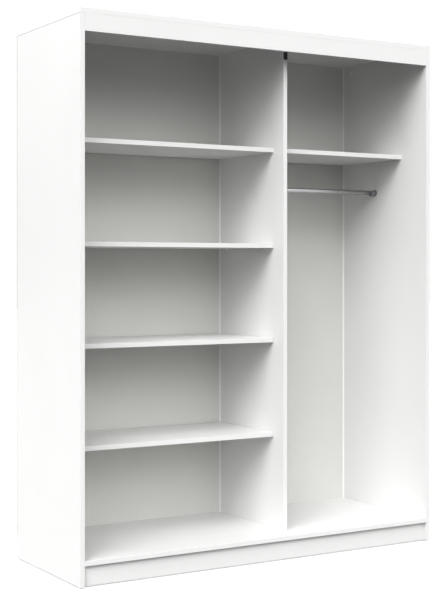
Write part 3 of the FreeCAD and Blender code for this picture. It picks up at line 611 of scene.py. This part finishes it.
# %% Boards
ARRIS = 0.6 * MM
BAND = 1.0 * MM
TOP_LOW, TOP_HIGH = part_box("top_panel")
FACE_FINISH, BAND_FINISH, CORE_FINISH = range(3)
DIRECTIONS = {"-x": (0, -1), "+x": (0, 1), "-y": (1, -1), "+y": (1, 1), "-z": (2, -1), "+z": (2, 1)}


def cut_band(shape, low, high, direction):
    """Cuts the strip of banding loose on one side of a board, and gives it its finish."""
    axis, sign = DIRECTIONS[direction]
    outer = high[axis] if sign > 0 else low[axis]
    normal = Vector([sign if index == axis else 0 for index in range(3)])
    spot = normal * (abs(outer - sign * BAND) * (1 if outer * sign > 0 else -1))
    geometry = shape.verts[:] + shape.edges[:] + shape.faces[:]
    bmesh.ops.bisect_plane(shape, geom=geometry, dist=MERGE, plane_co=spot, plane_no=normal)
    for face in shape.faces:
        if (face.calc_center_median()[axis] - outer) * sign > -BAND:
            face.material_index = BAND_FINISH


def mark_seam(shape):
    """Marks the arrises of the joint between the side panels and the top panel, where shade is painted
    on.
    """
    arris = shape.faces.layers.float["arris"]
    seam = shape.faces.layers.float.new("seam")
    for face in shape.faces:
        beside = insets(face, TOP_LOW, TOP_HIGH)[0] < ARRIS
        if face[arris] and beside and abs(face.calc_center_median().z - TOP_LOW.z) < ARRIS:
            face[seam] = 1.0


def finished_board(name, node, banded):
    """A board with soft arrises, banding on the given sides and a raw core elsewhere."""
    low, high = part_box(node)
    size = high - low
    thin = min(range(3), key=lambda axis: size[axis])
    shape = eased(node, ARRIS)
    mark_seam(shape)
    for face in shape.faces:
        on_big_face = insets(face, low, high)[thin] < ARRIS
        face.material_index = FACE_FINISH if on_big_face else CORE_FINISH
    for direction in banded.split():
        cut_band(shape, low, high, direction)
    return new_piece(name, shape, (MELAMINE, BANDING, CHIPBOARD), "white_melamine", node)


BANDED = {
    "side_panel_left": "-y",
    "side_panel_right": "-y",
    "top_panel": "-x +x -y",
    "bottom_panel": "-y",
    "divider_panel": "-y",
    "fascia_panel": "-z",
    "plinth_front": "-z",
    "plinth_rear": "-z",
    "plinth_crosspiece_left": "",
    "plinth_crosspiece_divider": "",
    "shelf_left_top": "-y",
    "shelf_right_top": "-y",
    "shelf_left_lower": "-y",
    "shelf_left_middle": "-y",
    "shelf_left_upper": "-y",
}
for node, banded in BANDED.items():
    finished_board(node + "_board", node, banded)
print("boards:", len(made))

# %% [markdown]
# ## Back boards
#
# The two backs are thin, so their arrises are only broken with sandpaper. The painted face looks
# forward, and everything else is raw.

# %% Backs
BACK_ARRIS = 0.3 * MM


def finished_back(node):
    low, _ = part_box(node)
    shape = eased(node, BACK_ARRIS)
    for face in shape.faces:
        painted = face.calc_center_median().y < low.y + BACK_ARRIS
        face.material_index = 0 if painted else 1
    return new_piece(node + "_sheet", shape, (PAINTED_BACK, RAW_BACK), "grey_hardboard", node)


for node in ("back_board_left", "back_board_right"):
    finished_back(node)
print("backs:", made[-2:])

# %% [markdown]
# ## Where the hardware sits
#
# Caps, screws and nails are many copies of one shape, turned on a lathe or moulded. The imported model
# says where each copy is: a node's mesh falls apart into its separate solids. Each solid is long
# or flat along one axis, with its head at the wider end, and that gives the copy's direction.

# %% Finding the solids
def solids_of(node):
    """The corner points of each separate solid in a node."""
    shape = bmesh.new()
    shape.from_mesh(frame["nodes"][node].data)
    bmesh.ops.remove_doubles(shape, verts=shape.verts, dist=MERGE)
    shape.verts.ensure_lookup_table()
    seen = set()
    solids = []
    for start in shape.verts:
        if start.index in seen:
            continue
        seen.add(start.index)
        waiting = [start]
        points = []
        while waiting:
            vert = waiting.pop()
            points.append(vert.co.copy())
            for edge in vert.link_edges:
                other = edge.other_vert(vert)
                if other.index not in seen:
                    seen.add(other.index)
                    waiting.append(other)
        solids.append(points)
    shape.free()
    return solids


def corners(points):
    low = Vector([min(point[axis] for point in points) for axis in range(3)])
    high = Vector([max(point[axis] for point in points) for axis in range(3)])
    return low, high


def head_place(points):
    """The matrix whose Z points out of a solid's head, with its origin on the head's outer face."""
    low, high = corners(points)
    middle = (low + high) / 2
    size = high - low
    across = [abs(size[(axis + 1) % 3] - size[(axis + 2) % 3]) for axis in range(3)]
    axis = across.index(min(across))
    reach = {-1: 0.0, 1: 0.0}
    for point in points:
        offset = point - middle
        side = 1 if offset[axis] > 0 else -1
        offset[axis] = 0
        reach[side] = max(reach[side], offset.length)
    sign = 1 if reach[1] >= reach[-1] else -1
    spot = middle.copy()
    spot[axis] = high[axis] if sign > 0 else low[axis]
    outward = Vector([sign if index == axis else 0 for index in range(3)])
    return Matrix.Translation(spot) @ outward.to_track_quat("Z", "Y").to_matrix().to_4x4()


def copies(shape, places):
    """One bmesh with a copy of a shape at each place."""
    mesh = bpy.data.meshes.new("copy")
    shape.to_mesh(mesh)
    shape.free()
    together = bmesh.new()
    for place in places:
        before = len(together.verts)
        together.from_mesh(mesh)
        together.verts.ensure_lookup_table()
        bmesh.ops.transform(together, matrix=place, verts=together.verts[before:])
    bpy.data.meshes.remove(mesh)
    return together


def head_places(node):
    return [head_place(points) for points in solids_of(node)]


# %% [markdown]
# ## Turned shapes
#
# A cap, a nail or a glide is a profile spun about an axis. The profile is drawn as pairs of radius
# and height. After a full spin the ends on the axis are many points in one place, so they are
# merged, and then the faces are made to look outwards.

# %% Turning
def turned(profile, steps=32, closed=False):
    """A shape spun about Z from pairs of radius and height."""
    shape = bmesh.new()
    verts = [shape.verts.new((radius, 0, height)) for radius, height in profile]
    pairs = list(zip(verts, verts[1:]))
    if closed:
        pairs.append((verts[-1], verts[0]))
    edges = [shape.edges.new(pair) for pair in pairs]
    bmesh.ops.spin(
        shape,
        geom=verts + edges,
        cent=(0, 0, 0),
        axis=(0, 0, 1),
        angle=2 * math.pi,
        steps=steps,
        use_merge=True,
    )
    bmesh.ops.remove_doubles(shape, verts=shape.verts, dist=MERGE)
    bmesh.ops.recalc_face_normals(shape, faces=shape.faces)
    for face in shape.faces:
        face.smooth = True
    return shape


def arc(centre, radius, start, end, steps=6):
    """Points of an arc in a profile, from one angle in degrees to another."""
    points = []
    for step in range(steps + 1):
        angle = math.radians(start + (end - start) * step / steps)
        points.append((centre[0] + radius * math.cos(angle), centre[1] + radius * math.sin(angle)))
    return points


# %% [markdown]
# ## Caps and cam covers
#
# A cap is a shallow dome with a rounded rim and a pin that presses into the screw's socket. The
# cover over a cam is the same thing, larger, with a thumb-nail groove: here a fine ring that
# keeps the light from sliding off a plain disc. Both stand one millimetre proud.

# %% Caps and covers
def capped(width, proud, pin, pin_length, ring):
    """A shallow cap: its outer face is at height 0 and its pin goes down."""
    radius = width / 2
    rim = proud * 0.6
    groove_half = 0.4 * MM
    groove_depth = 0.25 * MM
    lead_in = 0.3 * MM
    end = -proud - pin_length
    profile = [(0, 0), (ring - groove_half, -0.05 * MM)]
    profile += [(ring, -groove_depth), (ring + groove_half, -0.08 * MM)]
    profile += arc((radius - rim, -proud + rim * 0.6), rim, 75, 0, 5)
    profile += [(radius, -proud), (pin / 2, -proud)]
    profile += [(pin / 2, -proud - pin_length * 0.8), (pin / 2 - lead_in, end), (0, end)]
    return turned(profile, 40)


PROUD = 1 * MM
CAP_PIN = 3.8 * MM
for node, width, pin_length, ring in (
    ("screw_caps", 13 * MM, 2.8 * MM, 3 * MM),
    ("cam_covers", 17 * MM, 2.5 * MM, 5 * MM),
):
    caps = copies(capped(width, PROUD, CAP_PIN, pin_length, ring), head_places(node))
    new_piece(node + "_moulded", caps, (PLASTIC,), "white_plastic", node)
print("caps and covers:", made[-2:])

# %% [markdown]
# ## Screws with a cross recess
#
# A wood screw has a rounded head with a cross pressed into it, a plain neck and a thread. The head
# and shank are spun. The cross is cut with a Boolean modifier by two crossed bars that narrow
# downwards. The thread is a ridge: a small triangle spun around the shank while it climbs, which
# bmesh's spin does with dvec.

# %% Screws
def cross_cutter(reach, width, depth):
    """Two crossed bars that narrow towards the bottom."""
    shape = bmesh.new()
    for turn in (0, math.pi / 2):
        bar = bmesh.ops.create_cube(shape, size=1)["verts"]
        bmesh.ops.scale(shape, vec=(2 * reach, width, 2 * depth), verts=bar)
        lower = [vert for vert in bar if vert.co.z < 0]
        bmesh.ops.scale(shape, vec=(0.35, 0.7, 1), verts=lower)
        bmesh.ops.rotate(shape, cent=(0, 0, 0), matrix=Matrix.Rotation(turn, 3, "Z"), verts=bar)
    return shape


def thread(core, ridge, pitch, top, bottom, steps=16):
    """A ridge that climbs round a shank between two heights."""
    turns = (top - bottom) / pitch
    shape = bmesh.new()
    half = pitch * 0.28
    triangle = [(core, -half), (core + ridge, 0), (core, half)]
    verts = [shape.verts.new((radius, 0, bottom + height)) for radius, height in triangle]
    edges = [shape.edges.new((verts[index], verts[(index + 1) % 3])) for index in range(3)]
    face = shape.faces.new(verts)
    count = round(turns * steps)
    bmesh.ops.spin(
        shape,
        geom=verts + edges + [face],
        cent=(0, 0, 0),
        axis=(0, 0, 1),
        dvec=(0, 0, (top - bottom) / count),
        angle=2 * math.pi * turns,
        steps=count,
    )
    bmesh.ops.remove_doubles(shape, verts=shape.verts, dist=MERGE)
    bmesh.ops.recalc_face_normals(shape, faces=shape.faces)
    return shape


def joined(*shapes):
    """One bmesh that holds several shapes."""
    together = bmesh.new()
    for shape in shapes:
        mesh = bpy.data.meshes.new("part")
        shape.to_mesh(mesh)
        shape.free()
        together.from_mesh(mesh)
        bpy.data.meshes.remove(mesh)
    return together


def wood_screw(length, head=7 * MM, head_height=2.2 * MM, width=3.5 * MM):
    """A pan-headed screw whose head's top is at height 0."""
    core = width * 0.36
    tip = -head_height - length
    rim = head / 2
    edge = 0.2 * MM
    dome = head_height * 1.9
    pitch = 1.6 * MM
    neck = 1.5 * MM
    profile = [(0, 0)]
    profile += arc((0, -dome), dome, 78, 50, 5)[1:]
    profile = [(radius, height) for radius, height in profile if radius < rim * 0.92]
    profile += [(rim, -head_height * 0.55), (rim, -head_height + edge)]
    profile += [(rim - edge, -head_height), (core * 1.15, -head_height)]
    profile += [(core, tip + width), (0, tip)]
    recess = cross_cutter(reach=1.7 * MM, width=0.8 * MM, depth=1.4 * MM)
    body = combined(turned(profile, 24), recess, "DIFFERENCE")
    ridge = thread(core * 0.95, width / 2 - core, pitch, -head_height - neck, tip + width)
    return joined(body, ridge)


for node, length in (
    ("rail_cup_screws", 14 * MM),
    ("upper_track_screws", 14 * MM),
    ("corner_block_screws", 26 * MM),
):
    screws = copies(wood_screw(length), head_places(node))
    new_piece(node + "_turned", screws, (PLATED,), "plated_steel", node)
print("screws:", made[-3:])

# %% [markdown]
# ## Carcass screws
#
# The big screws under the caps have a flat head with a hexagon socket and a coarse thread. A hexagon
# is a circle of six segments, so the socket's cutter is a six-sided prism.

# %% Carcass screws
def prism(sides, radius, top, bottom):
    """An upright prism on a regular polygon."""
    shape = bmesh.new()
    bmesh.ops.create_cone(
        shape,
        cap_ends=True,
        segments=sides,
        radius1=radius,
        radius2=radius,
        depth=top - bottom,
    )
    bmesh.ops.translate(shape, vec=(0, 0, (top + bottom) / 2), verts=shape.verts)
    return shape


def carcass_screw():
    head, neck, length = 10 * MM, 7 * MM, 50 * MM
    head_height = 4 * MM
    edge = 0.4 * MM
    neck_length = 8 * MM
    shank = neck * 0.32
    shank_top = -16 * MM
    pitch = 3 * MM
    profile = [(0, 0), (head / 2 - edge, 0), (head / 2, -edge), (head / 2, -head_height)]
    profile += [(neck / 2, -head_height), (neck / 2, -head_height - neck_length)]
    profile += [(shank, shank_top), (shank, -length + 5 * MM), (neck * 0.2, -length), (0, -length)]
    socket = prism(sides=6, radius=2.3 * MM, top=1 * MM, bottom=-3 * MM)
    body = combined(turned(profile, 24), socket, "DIFFERENCE")
    ridge = thread(neck * 0.3, neck * 0.2, pitch, shank_top - 1 * MM, -length + 6 * MM, 14)
    return joined(body, ridge)


carcass_screws = copies(carcass_screw(), head_places("confirmat_screws"))
new_piece("carcass_screws_turned", carcass_screws, (PLATED,), "plated_steel", "confirmat_screws")
print("carcass screws:", made[-1])

# %% [markdown]
# ## Nails, glides and dowels
#
# The nails in the backs are hammered flush, so each head is a shallow dome inside the board's face.
# A glide is a thick disc with a rounded rim on a spike. A dowel is a beech rod with flutes that let
# the glue escape: every second point of its circle is pulled in.

# %% Nails, glides, dowels
def nail():
    head, shank, length = 4 * MM, 1.6 * MM, 22 * MM
    head_height = 0.8 * MM
    point = 3 * MM
    profile = [(0, 0), (head * 0.3, -0.06 * MM), (head / 2 - 0.1 * MM, -0.25 * MM)]
    profile += [(head / 2, -head_height / 2), (head / 2, -head_height), (shank / 2, -head_height)]
    profile += [(shank / 2, -length + point), (0, -length)]
    return turned(profile, 16)


def glide():
    disc, height, spike = 16 * MM, 3 * MM, 3 * MM
    spike_length, point = 15 * MM, 3 * MM
    rim = 1.2 * MM
    profile = [(0, 0), (disc / 2 - 1.5 * MM, 0)]
    profile += arc((disc / 2 - rim, -rim), rim, 75, 0, 4)
    profile += [(disc / 2, -height), (spike / 2, -height)]
    profile += [(spike / 2, -height - spike_length + point), (0, -height - spike_length)]
    return turned(profile, 36)


def dowel():
    radius, length, chamfer = 4 * MM, 30 * MM, 0.6 * MM
    sides = 48
    flute = 0.94
    shape = prism(sides, radius, 0, -length)
    for vert in shape.verts:
        turn = round(math.atan2(vert.co.y, vert.co.x) / (2 * math.pi) * sides)
        if turn % 2:
            vert.co.xy *= flute
    caps = [face for face in shape.faces if abs(face.normal.z) > 0.9]
    ends = {edge for face in caps for edge in face.edges}
    bmesh.ops.bevel(
        shape,
        geom=list(ends),
        offset=chamfer,
        affect="EDGES",
        segments=1,
        profile=0.5,
        material=-1,
    )
    return shape


nails = copies(nail(), head_places("back_board_nails"))
new_piece("back_board_nails_turned", nails, (PLATED,), "plated_steel", "back_board_nails")
glides = copies(glide(), head_places("floor_glides"))
new_piece("floor_glides_moulded", glides, (PLASTIC,), "white_plastic", "floor_glides")
dowels = copies(dowel(), head_places("wood_dowels"))
new_piece("wood_dowels_fluted", dowels, (BEECH,), "beech", "wood_dowels")
print("nails, glides, dowels:", made[-3:])

# %% [markdown]
# ## Hanging rail
#
# The rail is a steel tube. A rectangle, the tube's wall in section, spun about the rail's own axis
# gives it. Its cut ends are deburred, which is a small bevel on the two outer circles.

# %% Hanging rail
def tube(node, wall, burr, steps=72):
    """A tube along X that fills a node's box."""
    low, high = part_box(node)
    radius = (high.z - low.z) / 2
    length = high.x - low.x
    profile = [
        (radius - wall, 0),
        (radius - wall, length),
        (radius - burr, length),
        (radius, length - burr),
        (radius, burr),
        (radius - burr, 0),
    ]
    shape = turned(profile, steps, closed=True)
    middle = (low + high) / 2
    turn = Vector((1, 0, 0)).to_track_quat("Z", "Y").to_matrix().to_4x4()
    place = Matrix.Translation((low.x, middle.y, middle.z)) @ turn
    bmesh.ops.transform(shape, matrix=place, verts=shape.verts)
    return shape


rail = tube("hanging_rail", wall=1.2 * MM, burr=0.3 * MM)
new_piece("hanging_rail_tube", rail, (RAIL_STEEL,), "rail_steel", "hanging_rail")
print("rail:", made[-1])

# %% [markdown]
# ## Rail cups
#
# A cup is a zinc casting, screwed to the board, with a mouth at the top so that the rail drops in.
# Turning gives a round cup, and a Boolean cut from its middle upwards opens the mouth.

# %% Rail cups
def facing(spot, outward):
    """The matrix whose Z points outward and whose Y points up, or to the rear where Z is upright."""
    along = Vector(outward)
    up = Vector((0, 1, 0)) if abs(along.z) > 0.5 else Vector((0, 0, 1))
    turn = Matrix((up.cross(along), up, along)).transposed()
    return Matrix.Translation(spot) @ turn.to_4x4()


def rail_cup(node):
    low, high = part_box(node)
    middle = (low + high) / 2
    length = high.x - low.x
    outer = (high.y - low.y) / 2
    wall = 3.7 * MM
    inner = outer - wall
    floor = 3 * MM
    rim = 0.7 * MM
    profile = [(0, 0), (outer - rim, 0), (outer, rim)]
    profile += arc((outer - rim, length - rim), rim, 0, 90, 4)
    profile += [(inner + rim, length), (inner, length - rim), (inner, floor), (0, floor)]
    mouth = bmesh.new()
    bmesh.ops.create_cube(mouth, size=1)
    bmesh.ops.scale(mouth, vec=(2 * inner, 2 * outer, length), verts=mouth.verts)
    bmesh.ops.translate(mouth, vec=(0, outer, floor + length / 2), verts=mouth.verts)
    shape = combined(turned(profile, 64), mouth, "DIFFERENCE")
    towards_rail = 1 if middle.x < sum(corner.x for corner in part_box("hanging_rail")) / 2 else -1
    back = Vector((low.x if towards_rail > 0 else high.x, middle.y, middle.z))
    place = facing(back, (towards_rail, 0, 0))
    bmesh.ops.transform(shape, matrix=place, verts=shape.verts)
    return new_piece(node + "_cast", shape, (ZINC,), "zinc_die_cast", node)


for node in ("rail_cup_left", "rail_cup_right"):
    rail_cup(node)
print("cups:", made[-2:])

# %% [markdown]
# ## Track, stops, pad and blocks
#
# The track is an extrusion, and the other three are plain moulded blocks. Their own shapes are right,
# so all they need is the radius that a die or a mould gives: a quarter of a millimetre on the
# aluminium, about one on the rubber and the plastic.

# %% Track and blocks
MOULDED = (
    ("upper_track", 0.25 * MM, 100 * MM, ALUMINIUM, "track_aluminium"),
    ("track_stops", 1.2 * MM, 10 * MM, RUBBER, "black_rubber"),
    ("divider_buffer", 0.8 * MM, 2 * MM, RUBBER, "black_rubber"),
    ("corner_blocks", 1.0 * MM, 12 * MM, PLASTIC, "white_plastic"),
)
for node, radius, least_length, material, slot in MOULDED:
    shape = softened(node, radius, least_length)
    new_piece(node + "_softened", shape, (material,), slot, node)
print("softened:", made[-4:])

# %% [markdown]
# ## Corner beads
#
# A slim white bead closes each upright corner between a board and the back. It is a quarter round:
# two flat legs and a slightly bulging face that catches a line of light. The section is drawn
# once, from the corner, and extruded over the bead's height.

# %% Corner beads
BEAD_STEPS = 6
BEAD_BULGE = 0.25


def corner_bead(node):
    low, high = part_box(node)
    leg = high.x - low.x
    boards = [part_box(name) for name in ("side_panel_left", "divider_panel", "side_panel_right")]
    board_on_left = any(abs(board[1].x - low.x) < MM for board in boards)
    corner_x = low.x if board_on_left else high.x
    side = 1 if board_on_left else -1
    shape = bmesh.new()
    outline = [(0.0, 0.0)]
    for step in range(BEAD_STEPS + 1):
        share = step / BEAD_STEPS
        angle = math.pi / 2 * share
        chord = Vector((1 - share, share))
        circle = Vector((math.cos(angle), math.sin(angle)))
        outline.append(leg * chord.lerp(circle, BEAD_BULGE))
    verts = [shape.verts.new((corner_x + side * x, high.y - y, low.z)) for x, y in outline]
    section = shape.faces.new(verts)
    raised = bmesh.ops.extrude_face_region(shape, geom=[section])["geom"]
    top = [item for item in raised if isinstance(item, bmesh.types.BMVert)]
    bmesh.ops.translate(shape, vec=(0, 0, high.z - low.z), verts=top)
    bmesh.ops.recalc_face_normals(shape, faces=shape.faces)
    return new_piece(node + "_moulded", shape, (PLASTIC,), "white_plastic", node)


for bay in ("left_bay", "right_bay"):
    for side in ("left", "right"):
        corner_bead(f"corner_bead_{bay}_{side}")
print("beads:", made[-4:])

# %% [markdown]
# ## Shelf supports
#
# Each loose shelf lies on four plastic supports. A support is a block with rounded edges on a pin
# that pushes into the board. The block gets thinner towards its free end, because that is all the
# strength it needs, and the pin has grip rings.

# %% Shelf supports
def support(reach, width, height, pin_radius, pin_length):
    """A support whose free end is at height 0 and whose pin goes down."""
    block = bmesh.new()
    bmesh.ops.create_cube(block, size=1)
    bmesh.ops.scale(block, vec=(width, height, reach), verts=block.verts)
    bmesh.ops.translate(block, vec=(0, 0, -reach / 2), verts=block.verts)
    free_underside = [vert for vert in block.verts if vert.co.z > -reach / 2 and vert.co.y < 0]
    bmesh.ops.translate(block, vec=(0, height * 0.45, 0), verts=free_underside)
    bmesh.ops.bevel(
        block,
        geom=block.edges[:],
        offset=0.7 * MM,
        affect="EDGES",
        segments=3,
        profile=0.5,
        material=-1,
    )
    bmesh.ops.recalc_face_normals(block, faces=block.faces)
    profile = [(0, -reach)]
    rings = 4
    for ring in range(rings):
        height_now = -reach - pin_length * 0.85 * ring / rings
        profile.append((pin_radius, height_now))
        profile.append((pin_radius, height_now - pin_length * 0.12))
        profile.append((pin_radius * 0.88, height_now - pin_length * 0.16))
    profile += [(pin_radius * 0.7, -reach - pin_length), (0, -reach - pin_length)]
    return joined(block, turned(profile, 20))


def support_place(points):
    """Supports point along X, with the wide block at the free end."""
    low, high = corners(points)
    middle = (low + high) / 2
    wide = [point.x for point in points if abs(point.y - middle.y) > (high.y - low.y) * 0.4]
    sign = 1 if sum(wide) / len(wide) > middle.x else -1
    return facing(Vector((high.x if sign > 0 else low.x, middle.y, middle.z)), (sign, 0, 0))


support_places = [support_place(points) for points in solids_of("shelf_supports")]
one_support = support(
    reach=9 * MM, width=14 * MM, height=6 * MM, pin_radius=2.5 * MM, pin_length=9 * MM
)
supports = copies(one_support, support_places)
new_piece("shelf_supports_moulded", supports, (PLASTIC,), "white_plastic", "shelf_supports")
print("supports:", len(support_places))

# %% [markdown]
# ## Cams and bolts
#
# The cams and their bolts sit inside the boards, under the covers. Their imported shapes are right, so
# they stay as they are and only get their metal.

# %% Cams and bolts
for node, material in {"cams": ZINC, "cam_bolts": PLATED}.items():
    for material_slot in frame["nodes"][node].material_slots:
        material_slot.material = material
left_as_they_are = [name for name, thing in frame["nodes"].items() if not thing.hide_render]
print("plain nodes that still show:", left_as_they_are)

# %% [markdown]
# ## Studio
#
# White furniture is lit so that only its shape shows. The room is a ring of soft light that hangs
# around the wardrobe, brightest some 25 degrees above the horizon: it reaches into the bays from the
# front and fades out overhead, so the top of each bay stays dark. One soft sun from the front and
# the left adds the slow gradients. Nothing shines from below, so undersides fall into shade.
#
# The camera sees the room as plain white paper. The floor is left out of the sun's light, as a flag
# on a stand would do it, and glows a little, so that hardly any shadow is left on it.

# %% Studio
PAPER = (1.0, 1.0, 1.0)
RING_STRENGTH = 3.35
RING_HEIGHT = 0.42
RING_SPREAD = 0.42
SUN_AZIMUTH = math.radians(-50)
SUN_HEIGHT = math.radians(46)
SUN_STRENGTH = 2.9
SUN_SOFTNESS = math.radians(40)
FLOOR_REACH = 30
FLOOR_GLOW = 0.35


def studio_world():
    world = bpy.data.worlds.new("studio")
    world.use_nodes = True
    bpy.context.scene.world = world
    graph = Graph(world.node_tree)
    direction = graph.add("ShaderNodeTexCoord", out="Generated")
    height = graph.add("ShaderNodeSeparateXYZ", None, {0: direction}, out="Z")
    away = graph.add("ShaderNodeMath", {"operation": "ABSOLUTE"}, {0: height - RING_HEIGHT})
    ring = RING_STRENGTH * (1 - away * (1 / RING_SPREAD))
    light = graph.add("ShaderNodeMath", {"operation": "MAXIMUM"}, {0: ring, 1: 0.0})
    seen = graph.add("ShaderNodeLightPath", out="Is Camera Ray")
    strength = graph.add("ShaderNodeMix", {"data_type": "FLOAT"}, {0: seen, 2: light, 3: 1.0})
    paper = graph.add("ShaderNodeBackground", None, {"Color": PAPER, "Strength": strength})
    output = graph.tree.nodes.new("ShaderNodeOutputWorld")
    graph.feed(output.inputs["Surface"], paper)


def studio_floor():
    shape = bmesh.new()
    bmesh.ops.create_grid(shape, x_segments=1, y_segments=1, size=FLOOR_REACH)
    mesh = bpy.data.meshes.new("floor")
    shape.to_mesh(mesh)
    shape.free()
    floor = bpy.data.objects.new("floor", mesh)
    bpy.context.scene.collection.objects.link(floor)
    pale = Finish("studio_floor", shine=0.1)
    cloud = pale.stretch_range(pale.noise(0.8, 3), 0.3, 0.7)
    tone = pale.blend(cloud, (0.93, 0.93, 0.93), (0.95, 0.95, 0.95))
    pale.shader.inputs["Emission Strength"].default_value = FLOOR_GLOW
    mesh.materials.append(pale.paint(base_color=tone, emission_color=tone))
    floor.visible_diffuse = False
    return floor


def studio_sun(floor):
    sun = bpy.data.objects.new("sun", bpy.data.lights.new("sun", "SUN"))
    bpy.context.scene.collection.objects.link(sun)
    sun.data.energy = SUN_STRENGTH
    sun.data.angle = SUN_SOFTNESS
    sun.rotation_euler = (math.pi / 2 - SUN_HEIGHT, 0, SUN_AZIMUTH)
    flagged = bpy.data.collections.new("kept_from_the_sun")
    flagged.objects.link(floor)
    flagged.collection_objects[0].light_linking.link_state = "EXCLUDE"
    sun.light_linking.receiver_collection = flagged


studio_world()
studio_sun(studio_floor())
bpy.context.scene.view_settings.view_transform = "Standard"
print("studio ready")
